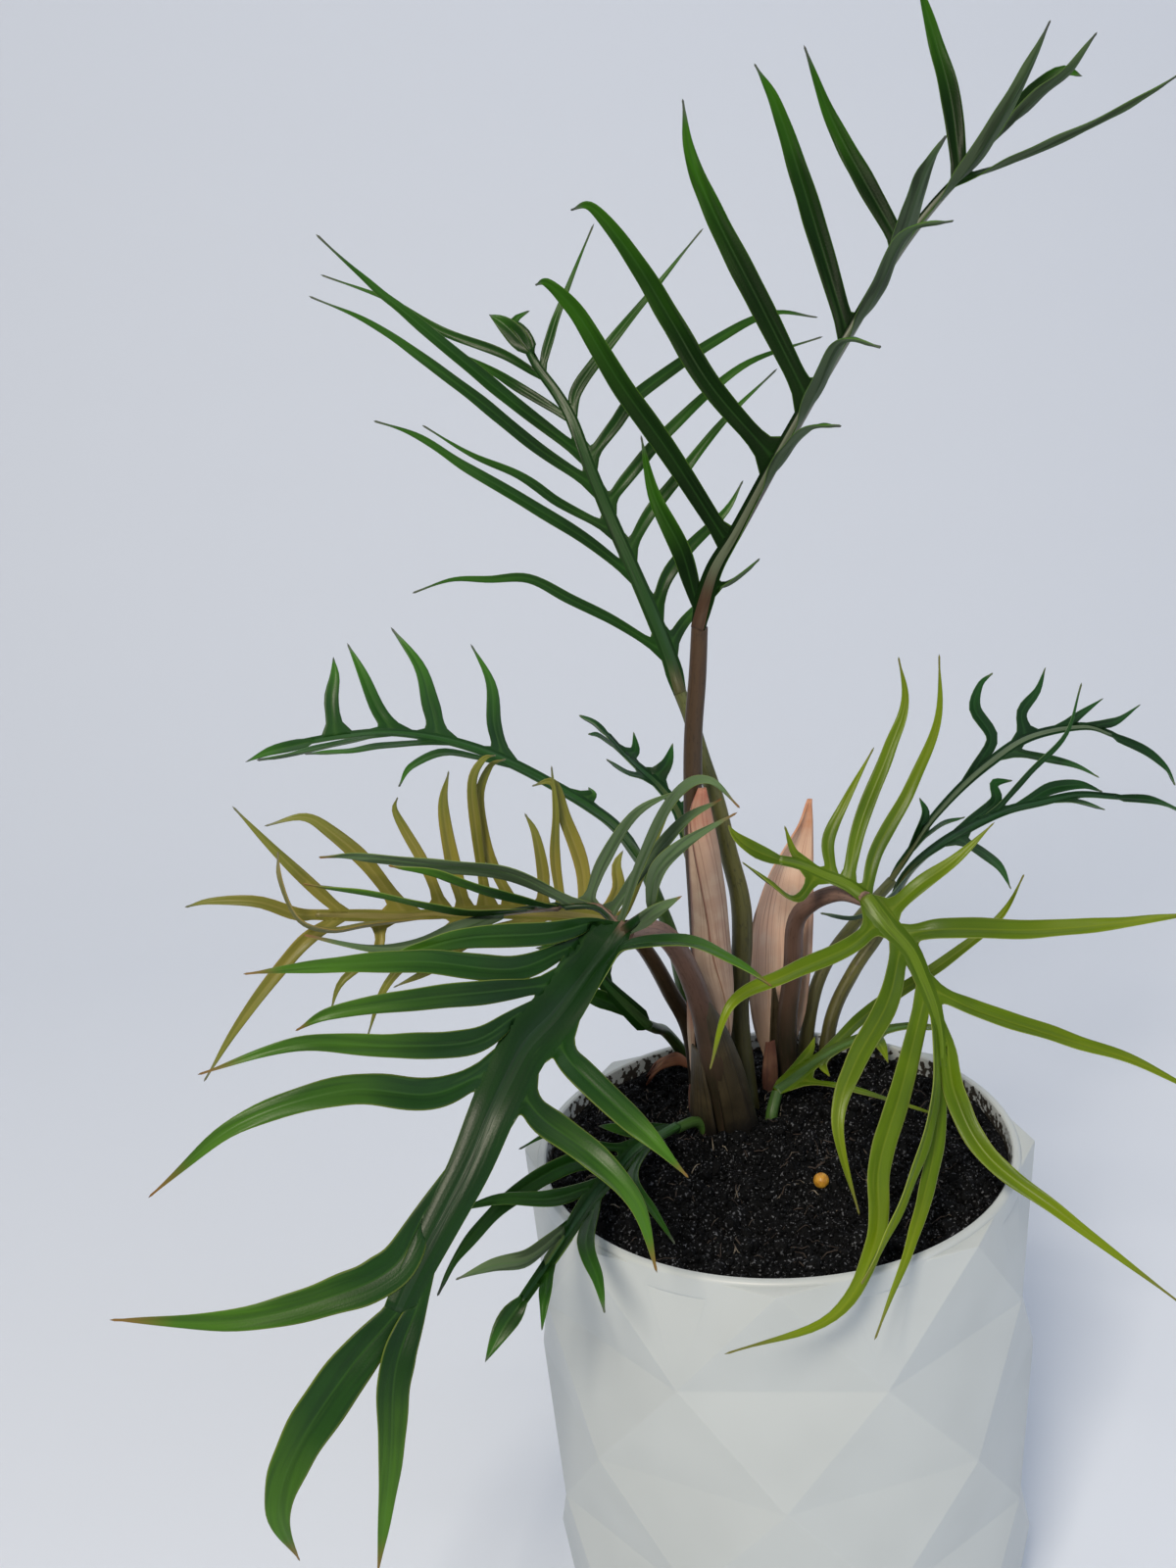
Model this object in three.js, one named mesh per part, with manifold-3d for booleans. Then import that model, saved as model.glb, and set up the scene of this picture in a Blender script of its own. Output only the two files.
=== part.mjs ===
// A potted Philodendron tortum: a white faceted pot of soil, and a plant of twelve deeply cut leaves.
// Millimetres, +Z up, origin at the middle of the pot's base. +X is the viewer's right, -Y the front.
import * as THREE from "three";
import { mergeVertices } from "three/addons/utils/BufferGeometryUtils.js";
import Module from "manifold-3d";

const wasm = await Module();
wasm.setup();

// Driving dimensions
const CLEARANCE = 0.3; // between pieces that touch on the real plant
const SMALLEST_DETAIL = 0.03; // slivers finer than this, left by joins and cuts, are merged away
const VERTEX_GRIDS = [0.05, 0.04, 0.06]; // a joined solid's vertices are rounded to one of these
const POT = {
  corners: 8,
  rowRadius: [55, 60.3, 59.3, 60.8, 59.5, 60.8], // corner radius of each row, from the foot up
  rowStep: 28,
  turn: -7, // degrees that the top row's front corner lies left of the front
  lipRadius: 57.2,
  lipBottom: 135,
  height: 141,
  mouthRadius: 55,
  floorRadius: 47.5,
  floor: 4,
};
const SOIL = {
  height: 137,
  rimDip: 0.4, // how far the soil has sunk away from the pot's wall
  mound: { rise: 0.6, x: -2, y: 26, spread: 22.4 },
  unevenness: 0.35,
  rings: 5,
  segments: 32,
};
const PLANT_LEVEL = 22; // the plant's points count their heights from here
const TUBE = { sides: 8, step: 10 };
const LOBE = {
  halfThickness: 0.5,
  shortLength: 15, // below this a lobe has fewer rings
  rootReach: 0.9, // share of the wing that the lobe's edges start at
  sunkReach: 0.15, // and that its sunk root starts at
  sunkSpread: 0.85, // width of the sunk root, as a share of the root's
  rootGap: 0.1, // share of the way between two lobes that stays free between their roots
};
const SHEATH_THICKNESS = 0.8;
const PRILL = { radius: 1.85, x: 8.6, y: -15.2 };

const COLOURS = {
  pot: "#e9e5df",
  soil: "#3b2b20",
  freshLeaf: "#5f8f34",
  leaf: "#3f6a2b",
  darkLeaf: "#33562a",
  greenStalk: "#6c8a3c",
  oliveStalk: "#5b5a33",
  brownStalk: "#5a4034",
  pinkStalk: "#8c6255",
  paleSheath: "#b9907e",
  drySheath: "#8a5a34",
  prill: "#c9a53c",
};

// Guide points of a lobe: where it leaves the rachis (0 to 1), its greatest width, the points that its
// midrib passes through, the last one being its tip.
const left = (at, width, ...points) => ({ side: "left", at, width, points });
const right = (at, width, ...points) => ({ side: "right", at, width, points });
const tip = (width, ...points) => ({ side: "tip", at: 1, width, points });

// The leaves. Each has a petiole, from its base in the soil to the blade, with its radius at both ends,
// and a blade of one to three divisions: a rachis, its radii and wings, and its lobes. "up" is the
// direction that the upper face looks to. The points were set by eye, in whole millimetres.
const LEAVES = [
  {
    name: "tall_leaf",
    colour: "leaf",
    stalk: "brownStalk",
    up: [-0.5, -0.8, 0.4],
    radii: [2.7, 1.9],
    petiole: [
      [-14.5, 23.5, 107], [-15, 20, 137], [-14, 20, 164], [-14, 20, 189], [-13, 20, 213], [-11, 20, 230],
    ],
    divisions: [
      {
        rachis: [
          [-10, 20, 241], [-6, 20, 253], [0, 20, 262], [10, 21, 278], [20, 23, 293], [28, 26, 304],
          [38, 29, 318], [47, 31, 328], [57, 33, 337], [64, 34, 345],
        ],
        radii: [1.5, 0.6],
        wings: [1.2, 0.5],
        lobes: [
          left(0.06, 4.6, [-13, 22, 259], [-18, 26, 271], [-20, 30, 284]),
          left(0.20, 5.0, [-14, 25, 280], [-24, 29, 296], [-32, 32, 311], [-38, 33, 318], [-41, 33, 318]),
          left(0.33, 5.2, [-4, 26, 294], [-12, 31, 309], [-19, 34, 322], [-27, 36, 333], [-32, 36, 333]),
          left(0.42, 5.4, [8, 28, 310], [0, 33, 328], [-5, 36, 342], [-6, 38, 354]),
          left(0.55, 5.0, [22, 32, 322], [18, 36, 338], [14, 39, 352], [10, 40, 360]),
          left(0.69, 4.6, [32, 35, 335], [26, 39, 348], [21, 41, 363]),
          left(0.85, 4.4, [52, 38, 350], [49, 42, 364], [46, 44, 376]),
          right(0.09, 2.0, [-2, 14, 253], [3, 6, 259]),
          right(0.29, 2.6, [9, 6, 281], [12, -14, 289], [17, -22, 290]),
          right(0.38, 2.8, [16, 2, 295], [18, -20, 306], [24, -28, 305]),
          right(0.54, 2.8, [29, 4, 313], [31, -18, 325], [38, -28, 327]),
          right(0.65, 3.2, [36, 6, 326], [36, -12, 336], [38, -22, 342]),
          right(0.79, 3.0, [53, 14, 339], [57, -2, 351], [60, -12, 361]),
          right(0.84, 3.0, [66, 18, 338], [78, 4, 344], [87, -6, 350]),
          right(0.94, 2.8, [66, 22, 348], [70, 10, 353], [73, 2, 359]),
          tip(5.2, [70, 34, 350], [75, 33, 353], [79, 32, 352]),
        ],
      },
    ],
  },
  {
    name: "upper_left_leaf",
    colour: "leaf",
    stalk: "oliveStalk",
    up: [0.1, -0.8, 0.6],
    radii: [2.9, 1.6],
    petiole: [
      [-3.5, 22.5, 107], [-5, 28, 138], [-3, 29, 159], [-3, 30, 170], [-5, 32, 181], [-7, 34, 193],
      [-10, 37, 205], [-12, 39, 214],
    ],
    divisions: [
      {
        rachis: [
          [-14, 40, 220], [-16, 42, 229], [-20, 44, 241], [-24, 47, 252], [-28, 50, 263], [-32, 53, 275],
          [-35, 57, 285], [-38, 60, 291], [-42, 63, 297], [-44, 65, 301],
        ],
        radii: [1.4, 0.6],
        wings: [1.0, 0.6],
        lobes: [
          left(0.14, 2.6, [-29, 42, 239], [-39, 38, 246], [-48, 36, 252], [-57, 34, 253], [-66, 32, 254],
            [-75, 30, 252]),
          left(0.32, 3.2, [-35, 46, 259], [-49, 42, 270], [-61, 39, 279], [-71, 37, 287], [-80, 36, 291]),
          left(0.42, 2.4, [-40, 50, 267], [-48, 48, 274], [-59, 47, 280], [-70, 46, 288]),
          left(0.52, 3.2, [-44, 52, 280], [-56, 48, 292], [-68, 45, 303], [-79, 43, 312], [-92, 42, 319]),
          left(0.59, 3.6, [-47, 55, 289], [-59, 51, 301], [-71, 48, 313], [-79, 46, 321], [-89, 44, 332]),
          left(0.70, 2.6, [-47, 62, 293], [-54, 62, 298], [-62, 62, 303]),
          left(0.88, 2.4, [-51, 68, 301], [-65, 72, 307], [-77, 74, 315], [-93, 76, 322]),
          right(0.14, 3.2, [-11, 46, 237], [-2, 50, 244]),
          right(0.22, 3.4, [-15, 46, 248], [-9, 49, 254], [0, 52, 261], [5, 54, 268]),
          right(0.36, 3.2, [-18, 49, 263], [-10, 52, 271], [1, 56, 282], [15, 60, 293]),
          right(0.47, 3.2, [-22, 52, 272], [-12, 56, 281], [7, 62, 294], [27, 66, 299]),
          right(0.57, 3.4, [-25, 56, 283], [-18, 59, 290], [1, 66, 300], [15, 70, 305], [27, 73, 303]),
          right(0.70, 3.2, [-33, 60, 292], [-26, 63, 300], [-15, 67, 311], [0, 71, 326]),
          right(0.89, 2.4, [-39, 65, 303], [-35, 68, 312], [-26, 72, 329]),
          right(0.97, 3.4, [-45, 67, 305], [-47, 69, 308], [-43, 72, 310]),
          tip(5.0, [-47, 67, 305], [-50, 69, 308], [-53, 70, 310]),
        ],
      },
    ],
  },
  {
    name: "middle_left_leaf",
    colour: "darkLeaf",
    stalk: "greenStalk",
    up: [0, -0.5, 0.85],
    radii: [2.1, 1.5],
    petiole: [[-14, 36, 107], [-15, 33, 130], [-18, 33, 145], [-20, 32, 159], [-23, 31, 170]],
    divisions: [
      {
        rachis: [
          [-26, 30, 180], [-32, 30, 190], [-39, 29, 197], [-48, 28, 204], [-56, 26, 210], [-64, 24, 215],
          [-73, 22, 219], [-83, 19, 222], [-93, 16, 223], [-100, 14, 223],
        ],
        radii: [1.3, 0.5],
        wings: [1.0, 0.7],
        lobes: [
          left(0.49, 2.6, [-70, 14, 218], [-77, 6, 218], [-80, 1, 215]),
          left(0.67, 2.8, [-83, 10, 222], [-91, 2, 224], [-99, -4, 226]),
          left(0.81, 2.6, [-94, 8, 224], [-102, 0, 225], [-109, -6, 226]),
          right(0.23, 2.6, [-37, 32, 199], [-38, 34, 200]),
          right(0.48, 3.8, [-59, 28, 220], [-59, 31, 229], [-63, 34, 238]),
          right(0.66, 4.4, [-73, 25, 226], [-75, 28, 235], [-81, 32, 244]),
          right(0.77, 3.8, [-85, 22, 227], [-88, 25, 235], [-91, 28, 242]),
          right(0.91, 3.4, [-95, 19, 231], [-94, 22, 236], [-94, 24, 240]),
          tip(3.4, [-104, 12, 223], [-109, 9, 223], [-114, 6, 222]),
        ],
      },
    ],
  },
  {
    name: "left_leaf",
    colour: "leaf",
    stalk: "brownStalk",
    up: [0, -0.4, 0.9],
    radii: [2.5, 1.6],
    petiole: [[-15.5, 29.5, 107], [-17, 27, 134], [-22, 24, 149], [-27, 17, 163]],
    divisions: [
      {
        rachis: [
          [-32, 10, 173], [-38, 8, 176], [-46, 6, 179], [-54, 4, 181], [-63, 2, 183], [-72, 0, 184],
          [-81, -2, 185], [-90, -4, 187], [-96, -5, 188], [-101, -6, 189],
        ],
        radii: [1.2, 0.5],
        wings: [1.0, 0.7],
        lobes: [
          left(0.33, 3.4, [-67, -6, 180], [-76, -9, 175], [-85, -11, 172]),
          left(0.52, 2.6, [-79, -8, 179], [-87, -12, 172], [-92, -14, 161]),
          left(0.62, 3.0, [-89, -9, 187], [-97, -13, 188], [-103, -15, 192], [-106, -14, 201],
            [-106, -12, 207]),
          left(0.74, 2.4, [-88, -8, 180], [-96, -12, 175], [-99, -14, 169]),
          left(0.91, 3.4, [-105, -10, 183], [-118, -16, 170], [-128, -20, 157]),
          right(0.02, 3.0, [-27, 14, 186], [-23, 16, 193], [-19, 17, 200]),
          right(0.09, 3.6, [-33, 12, 182], [-33, 14, 187], [-31, 16, 190]),
          right(0.16, 3.8, [-41, 13, 188], [-44, 16, 199], [-46, 16, 208], [-51, 15, 208]),
          right(0.23, 2.6, [-47, 10, 191], [-46, 13, 202], [-46, 14, 213]),
          right(0.29, 3.0, [-50, 8, 189], [-51, 10, 198], [-53, 11, 203]),
          right(0.38, 2.8, [-62, 6, 196], [-63, 9, 208], [-60, 10, 215], [-56, 9, 217]),
          right(0.45, 2.6, [-64, 4, 202], [-64, 6, 213], [-61, 7, 218], [-58, 6, 219]),
          right(0.51, 3.6, [-70, 3, 195], [-71, 6, 208], [-69, 7, 216]),
          right(0.57, 2.6, [-76, 2, 195], [-80, 5, 203], [-82, 6, 208], [-81, 6, 211]),
          right(0.68, 3.6, [-89, 0, 198], [-96, 2, 205], [-102, 3, 209], [-111, 2, 208]),
          right(0.89, 3.0, [-101, -4, 195], [-109, -2, 204], [-117, 0, 214]),
          tip(3.0, [-105, -7, 190], [-113, -8, 194], [-123, -8, 195], [-129, -8, 194]),
        ],
      },
    ],
  },
  {
    name: "front_left_leaf",
    colour: "leaf",
    stalk: "pinkStalk",
    up: [-0.2, -0.5, 0.85],
    radii: [4.1, 1.9],
    swelling: { until: 0.36, radius: 2.7 }, // the base that clasps the crown
    petiole: [[-9, 17, 107], [-12, 12, 133], [-15, 9, 150], [-18, 4, 163], [-22, -2, 174], [-27, -8, 180]],
    divisions: [
      {
        rachis: [
          [-32, -14, 183], [-38, -20, 179], [-43, -26, 176], [-49, -32, 172], [-55, -38, 169],
          [-59, -44, 165], [-63, -50, 160], [-68, -56, 152], [-74, -62, 144], [-80, -68, 136],
          [-84, -72, 130],
        ],
        radii: [1.7, 0.7],
        wings: [4.5, 1.5],
        lobes: [
          left(0.04, 5.6, [-49, -24, 188], [-65, -30, 191], [-76, -34, 191], [-84, -36, 190]),
          left(0.15, 6.2, [-57, -32, 184], [-75, -38, 190], [-94, -43, 193], [-110, -46, 194]),
          left(0.27, 5.6, [-62, -38, 182], [-77, -43, 184], [-93, -46, 184], [-101, -47, 181]),
          left(0.37, 6.0, [-66, -44, 174], [-82, -49, 177], [-100, -53, 181], [-120, -55, 177]),
          left(0.53, 7.4, [-75, -52, 167], [-91, -57, 172], [-112, -62, 169], [-131, -65, 156]),
          left(0.80, 9.0, [-84, -68, 138], [-96, -72, 135], [-115, -76, 134], [-138, -80, 139]),
          right(0.14, 5.8, [-32, -27, 185], [-20, -32, 187], [-11, -36, 184], [-3, -38, 178]),
          right(0.36, 6.4, [-45, -46, 167], [-35, -54, 159], [-30, -58, 155], [-24, -62, 149]),
          right(0.54, 6.6, [-52, -54, 160], [-43, -62, 156], [-35, -68, 148], [-32, -73, 135]),
          right(0.95, 7.0, [-85, -77, 120], [-88, -81, 100], [-93, -84, 76]),
          tip(9.6, [-95, -77, 120], [-106, -81, 106], [-111, -83, 93], [-109, -80, 78]),
        ],
      },
      {
        rachis: [[-33, -15, 183], [-38, -8, 186], [-46, -6, 186], [-53, -6, 186], [-59, -7, 186]],
        radii: [1.4, 0.8],
        round: true,
        lobes: [
          left(0.42, 4.6, [-57, -8, 196], [-73, -12, 201], [-88, -14, 205], [-97, -15, 206]),
          left(0.60, 4.6, [-61, -14, 194], [-73, -17, 201], [-82, -18, 204]),
          left(0.80, 4.6, [-68, -16, 191], [-84, -20, 198], [-100, -22, 203]),
          right(0.04, 3.2, [-28, -16, 199], [-20, -22, 216], [-13, -25, 220], [-7, -27, 214]),
          right(0.15, 4.0, [-26, -10, 197], [-18, -16, 208], [-10, -20, 214]),
          right(0.32, 3.0, [-36, -8, 197], [-28, -11, 209], [-17, -14, 215]),
          tip(4.6, [-68, -18, 188], [-83, -22, 186], [-101, -24, 192]),
        ],
      },
      {
        rachis: [[-33, -15, 183], [-30, -19, 187], [-27, -21, 190]],
        radii: [1.3, 0.8],
        round: true,
        lobes: [
          right(0.37, 3.6, [-26, -24, 191], [-20, -26, 195]),
          tip(3.8, [-25, -26, 201], [-19, -29, 208], [-8, -32, 215]),
        ],
      },
    ],
  },
  {
    name: "front_right_leaf",
    colour: "freshLeaf",
    stalk: "pinkStalk",
    up: [0.2, -0.5, 0.85],
    radii: [2.7, 1.9],
    petiole: [[8, 36, 107], [8, 37, 129], [10, 36, 146], [11, 34, 160], [15, 30, 167], [21, 25, 171]],
    divisions: [
      {
        rachis: [
          [26, 18, 172], [30, 12, 167], [34, 6, 163], [36, 0, 158], [37, -6, 154], [37, -12, 149],
          [36, -18, 145],
        ],
        radii: [1.5, 0.6],
        wings: [1.6, 0.8],
        lobes: [
          left(0.12, 4.2, [38, 14, 176], [47, 16, 181], [57, 18, 189]),
          left(0.26, 5.6, [44, 8, 167], [65, 8, 165], [85, 6, 166], [102, 4, 168]),
          left(0.58, 5.0, [48, -6, 152], [65, -10, 146], [82, -14, 140], [98, -18, 131]),
          left(0.85, 5.0, [38, -24, 141], [43, -34, 131], [57, -46, 122], [79, -56, 105]),
          right(0.14, 4.6, [19, 4, 166], [3, -8, 166], [-10, -16, 164], [-16, -20, 150]),
          right(0.32, 5.2, [26, -8, 157], [16, -20, 148], [11, -28, 138], [14, -36, 120]),
          right(0.63, 5.2, [26, -24, 144], [18, -40, 135], [14, -56, 127], [3, -68, 118], [-20, -76, 117]),
          right(0.80, 4.0, [32, -30, 144], [25, -44, 136], [16, -58, 129], [9, -68, 125]),
          tip(4.0, [32, -32, 136], [26, -46, 129], [20, -58, 124], [11, -70, 113]),
        ],
      },
      {
        rachis: [[27, 18, 171], [22, 20, 175], [17, 22, 177], [11, 23, 180], [6, 22, 182]],
        radii: [1.3, 0.7],
        wings: [0.8, 0.6],
        lobes: [
          left(0.58, 2.4, [9, 14, 175], [3, 10, 181], [-4, 8, 188]),
          right(0.09, 3.6, [30, 24, 182], [39, 30, 194], [47, 34, 210], [48, 36, 226]),
          right(0.28, 3.8, [27, 28, 188], [35, 34, 203], [40, 38, 214], [39, 40, 225]),
          right(0.46, 3.2, [19, 28, 184], [24, 32, 192], [32, 36, 204]),
          right(0.71, 2.2, [10, 24, 183], [8, 24, 190]),
          tip(4.0, [0, 20, 186], [-4, 18, 190], [-6, 17, 194]),
        ],
      },
    ],
  },
  {
    name: "back_right_leaf",
    colour: "darkLeaf",
    stalk: "oliveStalk",
    up: [0, -0.4, 0.9],
    radii: [2.0, 1.5],
    petiole: [[12, 44, 107], [16, 50, 128], [22, 56, 139], [32, 64, 147]],
    divisions: [
      {
        rachis: [
          [42, 72, 153], [48, 76, 159], [55, 81, 166], [64, 86, 173], [73, 91, 178], [83, 96, 182],
          [93, 100, 183], [104, 104, 182], [112, 107, 178],
        ],
        radii: [1.2, 0.5],
        wings: [1.0, 0.8],
        lobes: [
          left(0.19, 3.4, [53, 80, 169], [52, 82, 173]),
          left(0.45, 4.6, [74, 92, 185], [70, 95, 193], [72, 97, 199], [76, 98, 202]),
          left(0.65, 3.6, [84, 98, 190], [89, 101, 195], [92, 103, 201]),
          left(0.81, 2.8, [102, 104, 186], [110, 108, 189]),
          left(0.92, 2.8, [114, 108, 182], [122, 112, 185]),
          right(0.18, 2.6, [55, 68, 170], [60, 62, 174]),
          right(0.58, 3.0, [87, 90, 179], [95, 84, 178], [100, 78, 176]),
          tip(3.6, [122, 109, 172], [129, 110, 166], [132, 110, 160]),
        ],
      },
    ],
  },
  {
    name: "low_right_leaf",
    colour: "darkLeaf",
    stalk: "oliveStalk",
    up: [0, -0.4, 0.9],
    radii: [2.0, 1.5],
    petiole: [[17, 41, 107], [21, 48, 125], [28, 52, 137], [35, 55, 145]],
    divisions: [
      {
        rachis: [
          [40, 58, 152], [45, 62, 159], [54, 67, 164], [64, 72, 167], [74, 76, 169], [84, 80, 169],
          [96, 84, 169], [108, 88, 166],
        ],
        radii: [1.2, 0.5],
        wings: [1.0, 0.8],
        lobes: [
          left(0.42, 4.2, [71, 76, 172], [72, 80, 176], [78, 84, 175]),
          left(0.54, 2.2, [80, 78, 178], [91, 79, 189], [95, 79, 203]),
          left(0.68, 3.6, [89, 84, 172], [98, 87, 171], [105, 91, 167]),
          right(0.15, 3.8, [37, 54, 155], [28, 50, 153], [19, 48, 156]),
          right(0.35, 3.4, [63, 60, 165], [66, 50, 164], [67, 42, 161]),
          right(0.81, 2.4, [96, 78, 169], [100, 72, 169]),
          tip(3.4, [120, 91, 163], [131, 92, 157]),
        ],
      },
    ],
  },
  {
    name: "small_right_leaf",
    colour: "freshLeaf",
    stalk: "greenStalk",
    up: [0, -0.3, 0.95],
    radii: [1.7, 1.4],
    petiole: [[1, 17.5, 108], [1.2, 18.6, 115]],
    divisions: [
      {
        rachis: [[3, 22, 119.5], [11, 27, 122], [19, 32, 124], [27, 36, 125], [35, 40, 125], [41, 43, 124]],
        radii: [1.3, 0.5],
        wings: [1.4, 1.0],
        lobes: [
          left(0.20, 2.6, [13, 32, 125], [15, 36, 127]),
          left(0.45, 3.8, [31, 44, 129], [51, 50, 138], [67, 54, 148], [74, 56, 159]),
          right(0.14, 2.0, [19, 16, 123], [31, 10, 121], [41, 4, 119.5]),
          right(0.34, 2.6, [15, 22, 126], [16, 18, 125]),
          right(0.65, 3.4, [31, 30, 126], [32, 26, 123]),
          tip(4.2, [46, 46, 122], [51, 49, 120]),
        ],
      },
    ],
  },
  {
    name: "small_back_leaf",
    colour: "darkLeaf",
    stalk: "oliveStalk",
    up: [0.3, -0.7, 0.7],
    radii: [1.8, 1.3],
    petiole: [[-8, 31, 107], [-10, 48, 131], [-12, 53, 149], [-12, 56, 164]],
    divisions: [
      {
        rachis: [
          [-14, 58, 175], [-16, 60, 183], [-20, 62, 189], [-24, 64, 193], [-28, 66, 197], [-32, 68, 202],
        ],
        radii: [1.1, 0.5],
        wings: [1.2, 1.0],
        lobes: [
          left(0.14, 3.0, [-11, 64, 186], [-8, 66, 193]),
          left(0.47, 3.4, [-17, 66, 194], [-15, 70, 198]),
          left(0.78, 3.0, [-25, 70, 197], [-25, 73, 201]),
          right(0.54, 2.4, [-28, 58, 195], [-33, 52, 201]),
          right(0.89, 2.2, [-34, 62, 204], [-37, 58, 206]),
          tip(3.2, [-35, 70, 205], [-39, 72, 207]),
        ],
      },
    ],
  },
  {
    name: "low_left_leaf",
    colour: "leaf",
    stalk: "greenStalk",
    up: [-0.3, -0.3, 0.9],
    radii: [1.5, 1.3],
    petiole: [[-15, 14, 108], [-16, 13, 116], [-18.5, 11, 119.4]],
    divisions: [
      {
        rachis: [
          [-23, 6, 121], [-33, -4, 122], [-39, -14, 122], [-44, -26, 124], [-48, -38, 126],
          [-52, -48, 126], [-56, -56, 125], [-60, -62, 123],
        ],
        radii: [1.1, 0.5],
        wings: [2.0, 1.2],
        lobes: [
          left(0.08, 5.0, [-35, 0, 125], [-42, -4, 129]),
          left(0.20, 2.0, [-43, -14, 130], [-52, -18, 136], [-60, -22, 135]),
          left(0.28, 4.6, [-49, -28, 134], [-62, -44, 136], [-72, -56, 132], [-77, -62, 126]),
          left(0.44, 3.8, [-53, -40, 133], [-63, -50, 140], [-72, -56, 142]),
          left(0.68, 3.8, [-58, -60, 132], [-65, -66, 135], [-72, -70, 135]),
          right(0.16, 3.0, [-35, -24, 126], [-31, -34, 124], [-27, -42, 120.5]),
          right(0.51, 3.8, [-46, -52, 129], [-44, -62, 127], [-43, -68, 123]),
          right(0.85, 3.0, [-55, -64, 125], [-56, -68, 120]),
          tip(4.6, [-64, -66, 120], [-68, -70, 115]),
        ],
      },
    ],
  },
  {
    name: "small_left_leaf",
    colour: "leaf",
    stalk: "greenStalk",
    up: [-0.2, -0.5, 0.85],
    radii: [1.6, 1.3],
    petiole: [[-15, 50, 107], [-18.5, 47, 119], [-23, 39, 130], [-26, 28, 137]],
    divisions: [
      {
        rachis: [[-28, 20, 142], [-33, 16, 150], [-37, 12, 157], [-40, 9, 163]],
        radii: [1.2, 0.6],
        wings: [1.6, 1.0],
        lobes: [
          left(0.49, 4.4, [-41, 8, 157], [-48, 4, 161]),
          right(0.81, 4.0, [-37, 14, 164], [-40, 18, 167]),
          tip(4.6, [-43, 6, 169], [-48, 3, 172], [-53, 0, 174]),
        ],
      },
    ],
  },
];

// Papery sheaths that once wrapped a young leaf. Each row is a height, the row's left and right edge,
// and how far it bulges, to the front where the number is negative.
const SHEATHS = [
  {
    name: "pink_sheath",
    colour: "paleSheath",
    rows: [
      [204, [-12.6, 16.0], [-10.8, 16.2], -0.3],
      [197, [-15.2, 16.6], [-9.6, 17.0], -1.4],
      [186, [-15.8, 16.8], [-8.2, 19.0], -2.8],
      [172, [-15.9, 16.8], [-7.2, 20.4], -3.4],
      [160, [-16.0, 16.8], [-6.8, 20.4], -3.4],
      [151, [-13.0, 15.6], [-6.9, 18.0], -1.6],
    ],
  },
  {
    name: "pink_sheath_tail",
    colour: "paleSheath",
    rows: [
      [149, [-18.0, 18.2], [-16.2, 16.4], -0.3],
      [140, [-18.3, 18.0], [-16.8, 16.5], -0.3],
      [131, [-18.1, 18.9], [-16.6, 17.4], -0.3],
      [127, [-17.7, 18.9], [-17.0, 18.1], -0.1],
    ],
  },
  {
    name: "crown_scale",
    colour: "drySheath",
    rows: [
      [124.5, [-18.5, 20.8], [-17.4, 18.8], -0.3],
      [119, [-18.7, 22.6], [-16.6, 18.4], -0.8],
      [110, [-18.6, 23.6], [-16.4, 19.4], -0.8],
    ],
  },
  {
    name: "boat_sheath",
    colour: "paleSheath",
    rows: [
      [189.5, [16.2, 42.0], [17.2, 42.0], 0.2],
      [183, [13.5, 41.0], [17.3, 42.5], 1.2],
      [176, [8.8, 40.5], [17.3, 43.0], 3.0],
      [168, [4.2, 40.0], [17.1, 43.0], 4.5],
      [156, [0.2, 40.0], [16.6, 43.0], 5.5],
      [143, [-1.1, 40.0], [15.5, 42.6], 5.5],
      [130, [-0.4, 40.0], [13.5, 42.6], 4.8],
      [120, [2.0, 40.5], [9.8, 42.0], 2.4],
      [110, [3.6, 41.0], [8.4, 42.0], 1.0],
    ],
  },
  {
    name: "inner_sheath",
    colour: "oliveStalk",
    rows: [
      [140.5, [5.2, 40.4], [5.8, 40.4], 0.1],
      [132, [4.4, 39.8], [6.8, 40.2], 0.6],
      [122, [3.6, 39.2], [6.0, 39.5], 0.6],
      [110, [2.6, 38.4], [4.6, 38.6], 0.4],
    ],
  },
  {
    name: "dry_sheath",
    colour: "drySheath",
    rows: [
      [128, [2.0, 33.2], [4.4, 34.0], -0.4],
      [120, [0.4, 30.6], [4.6, 31.8], -1.0],
      [110, [0.8, 31.0], [3.8, 31.6], -0.6],
    ],
  },
];

// A curled scrap of dry bark that lies on the soil: the points along its back, its width in the middle,
// and how far its sides curl down.
const BARK = {
  back: [[-29, 39, 116.8], [-25.5, 39.5, 121], [-21, 39.8, 122.8], [-17.5, 39, 121]],
  width: 6,
  endWidthShare: 0.55,
  curl: 1.15, // radians each way from the back
  curlDepth: 0.9,
};

// Small helpers

const direction = (p) => new THREE.Vector3(...p).normalize();
const place = ([x, y, z]) => new THREE.Vector3(x, y, z + PLANT_LEVEL);
const curveThrough = (points) => new THREE.CatmullRomCurve3(points, false, "catmullrom", 0.5);
const mix = (a, b, k) => a + (b - a) * k;
const clamp = THREE.MathUtils.clamp;

// v without its share along axis, at unit length
function squareTo(v, axis) {
  return v.clone().addScaledVector(axis, -v.dot(axis)).normalize();
}

// A closed mesh as a solid, turned inside out where its faces point inwards.
function solidOf(positions, faces) {
  const make = (triVerts) =>
    new wasm.Manifold(
      new wasm.Mesh({
        numProp: 3,
        vertProperties: new Float32Array(positions.flatMap((p) => [p.x, p.y, p.z])),
        triVerts: new Uint32Array(triVerts.flat()),
      }),
    );
  const solid = make(faces);
  return solid.volume() < 0 ? make(faces.map(([a, b, c]) => [a, c, b])) : solid;
}

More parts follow.
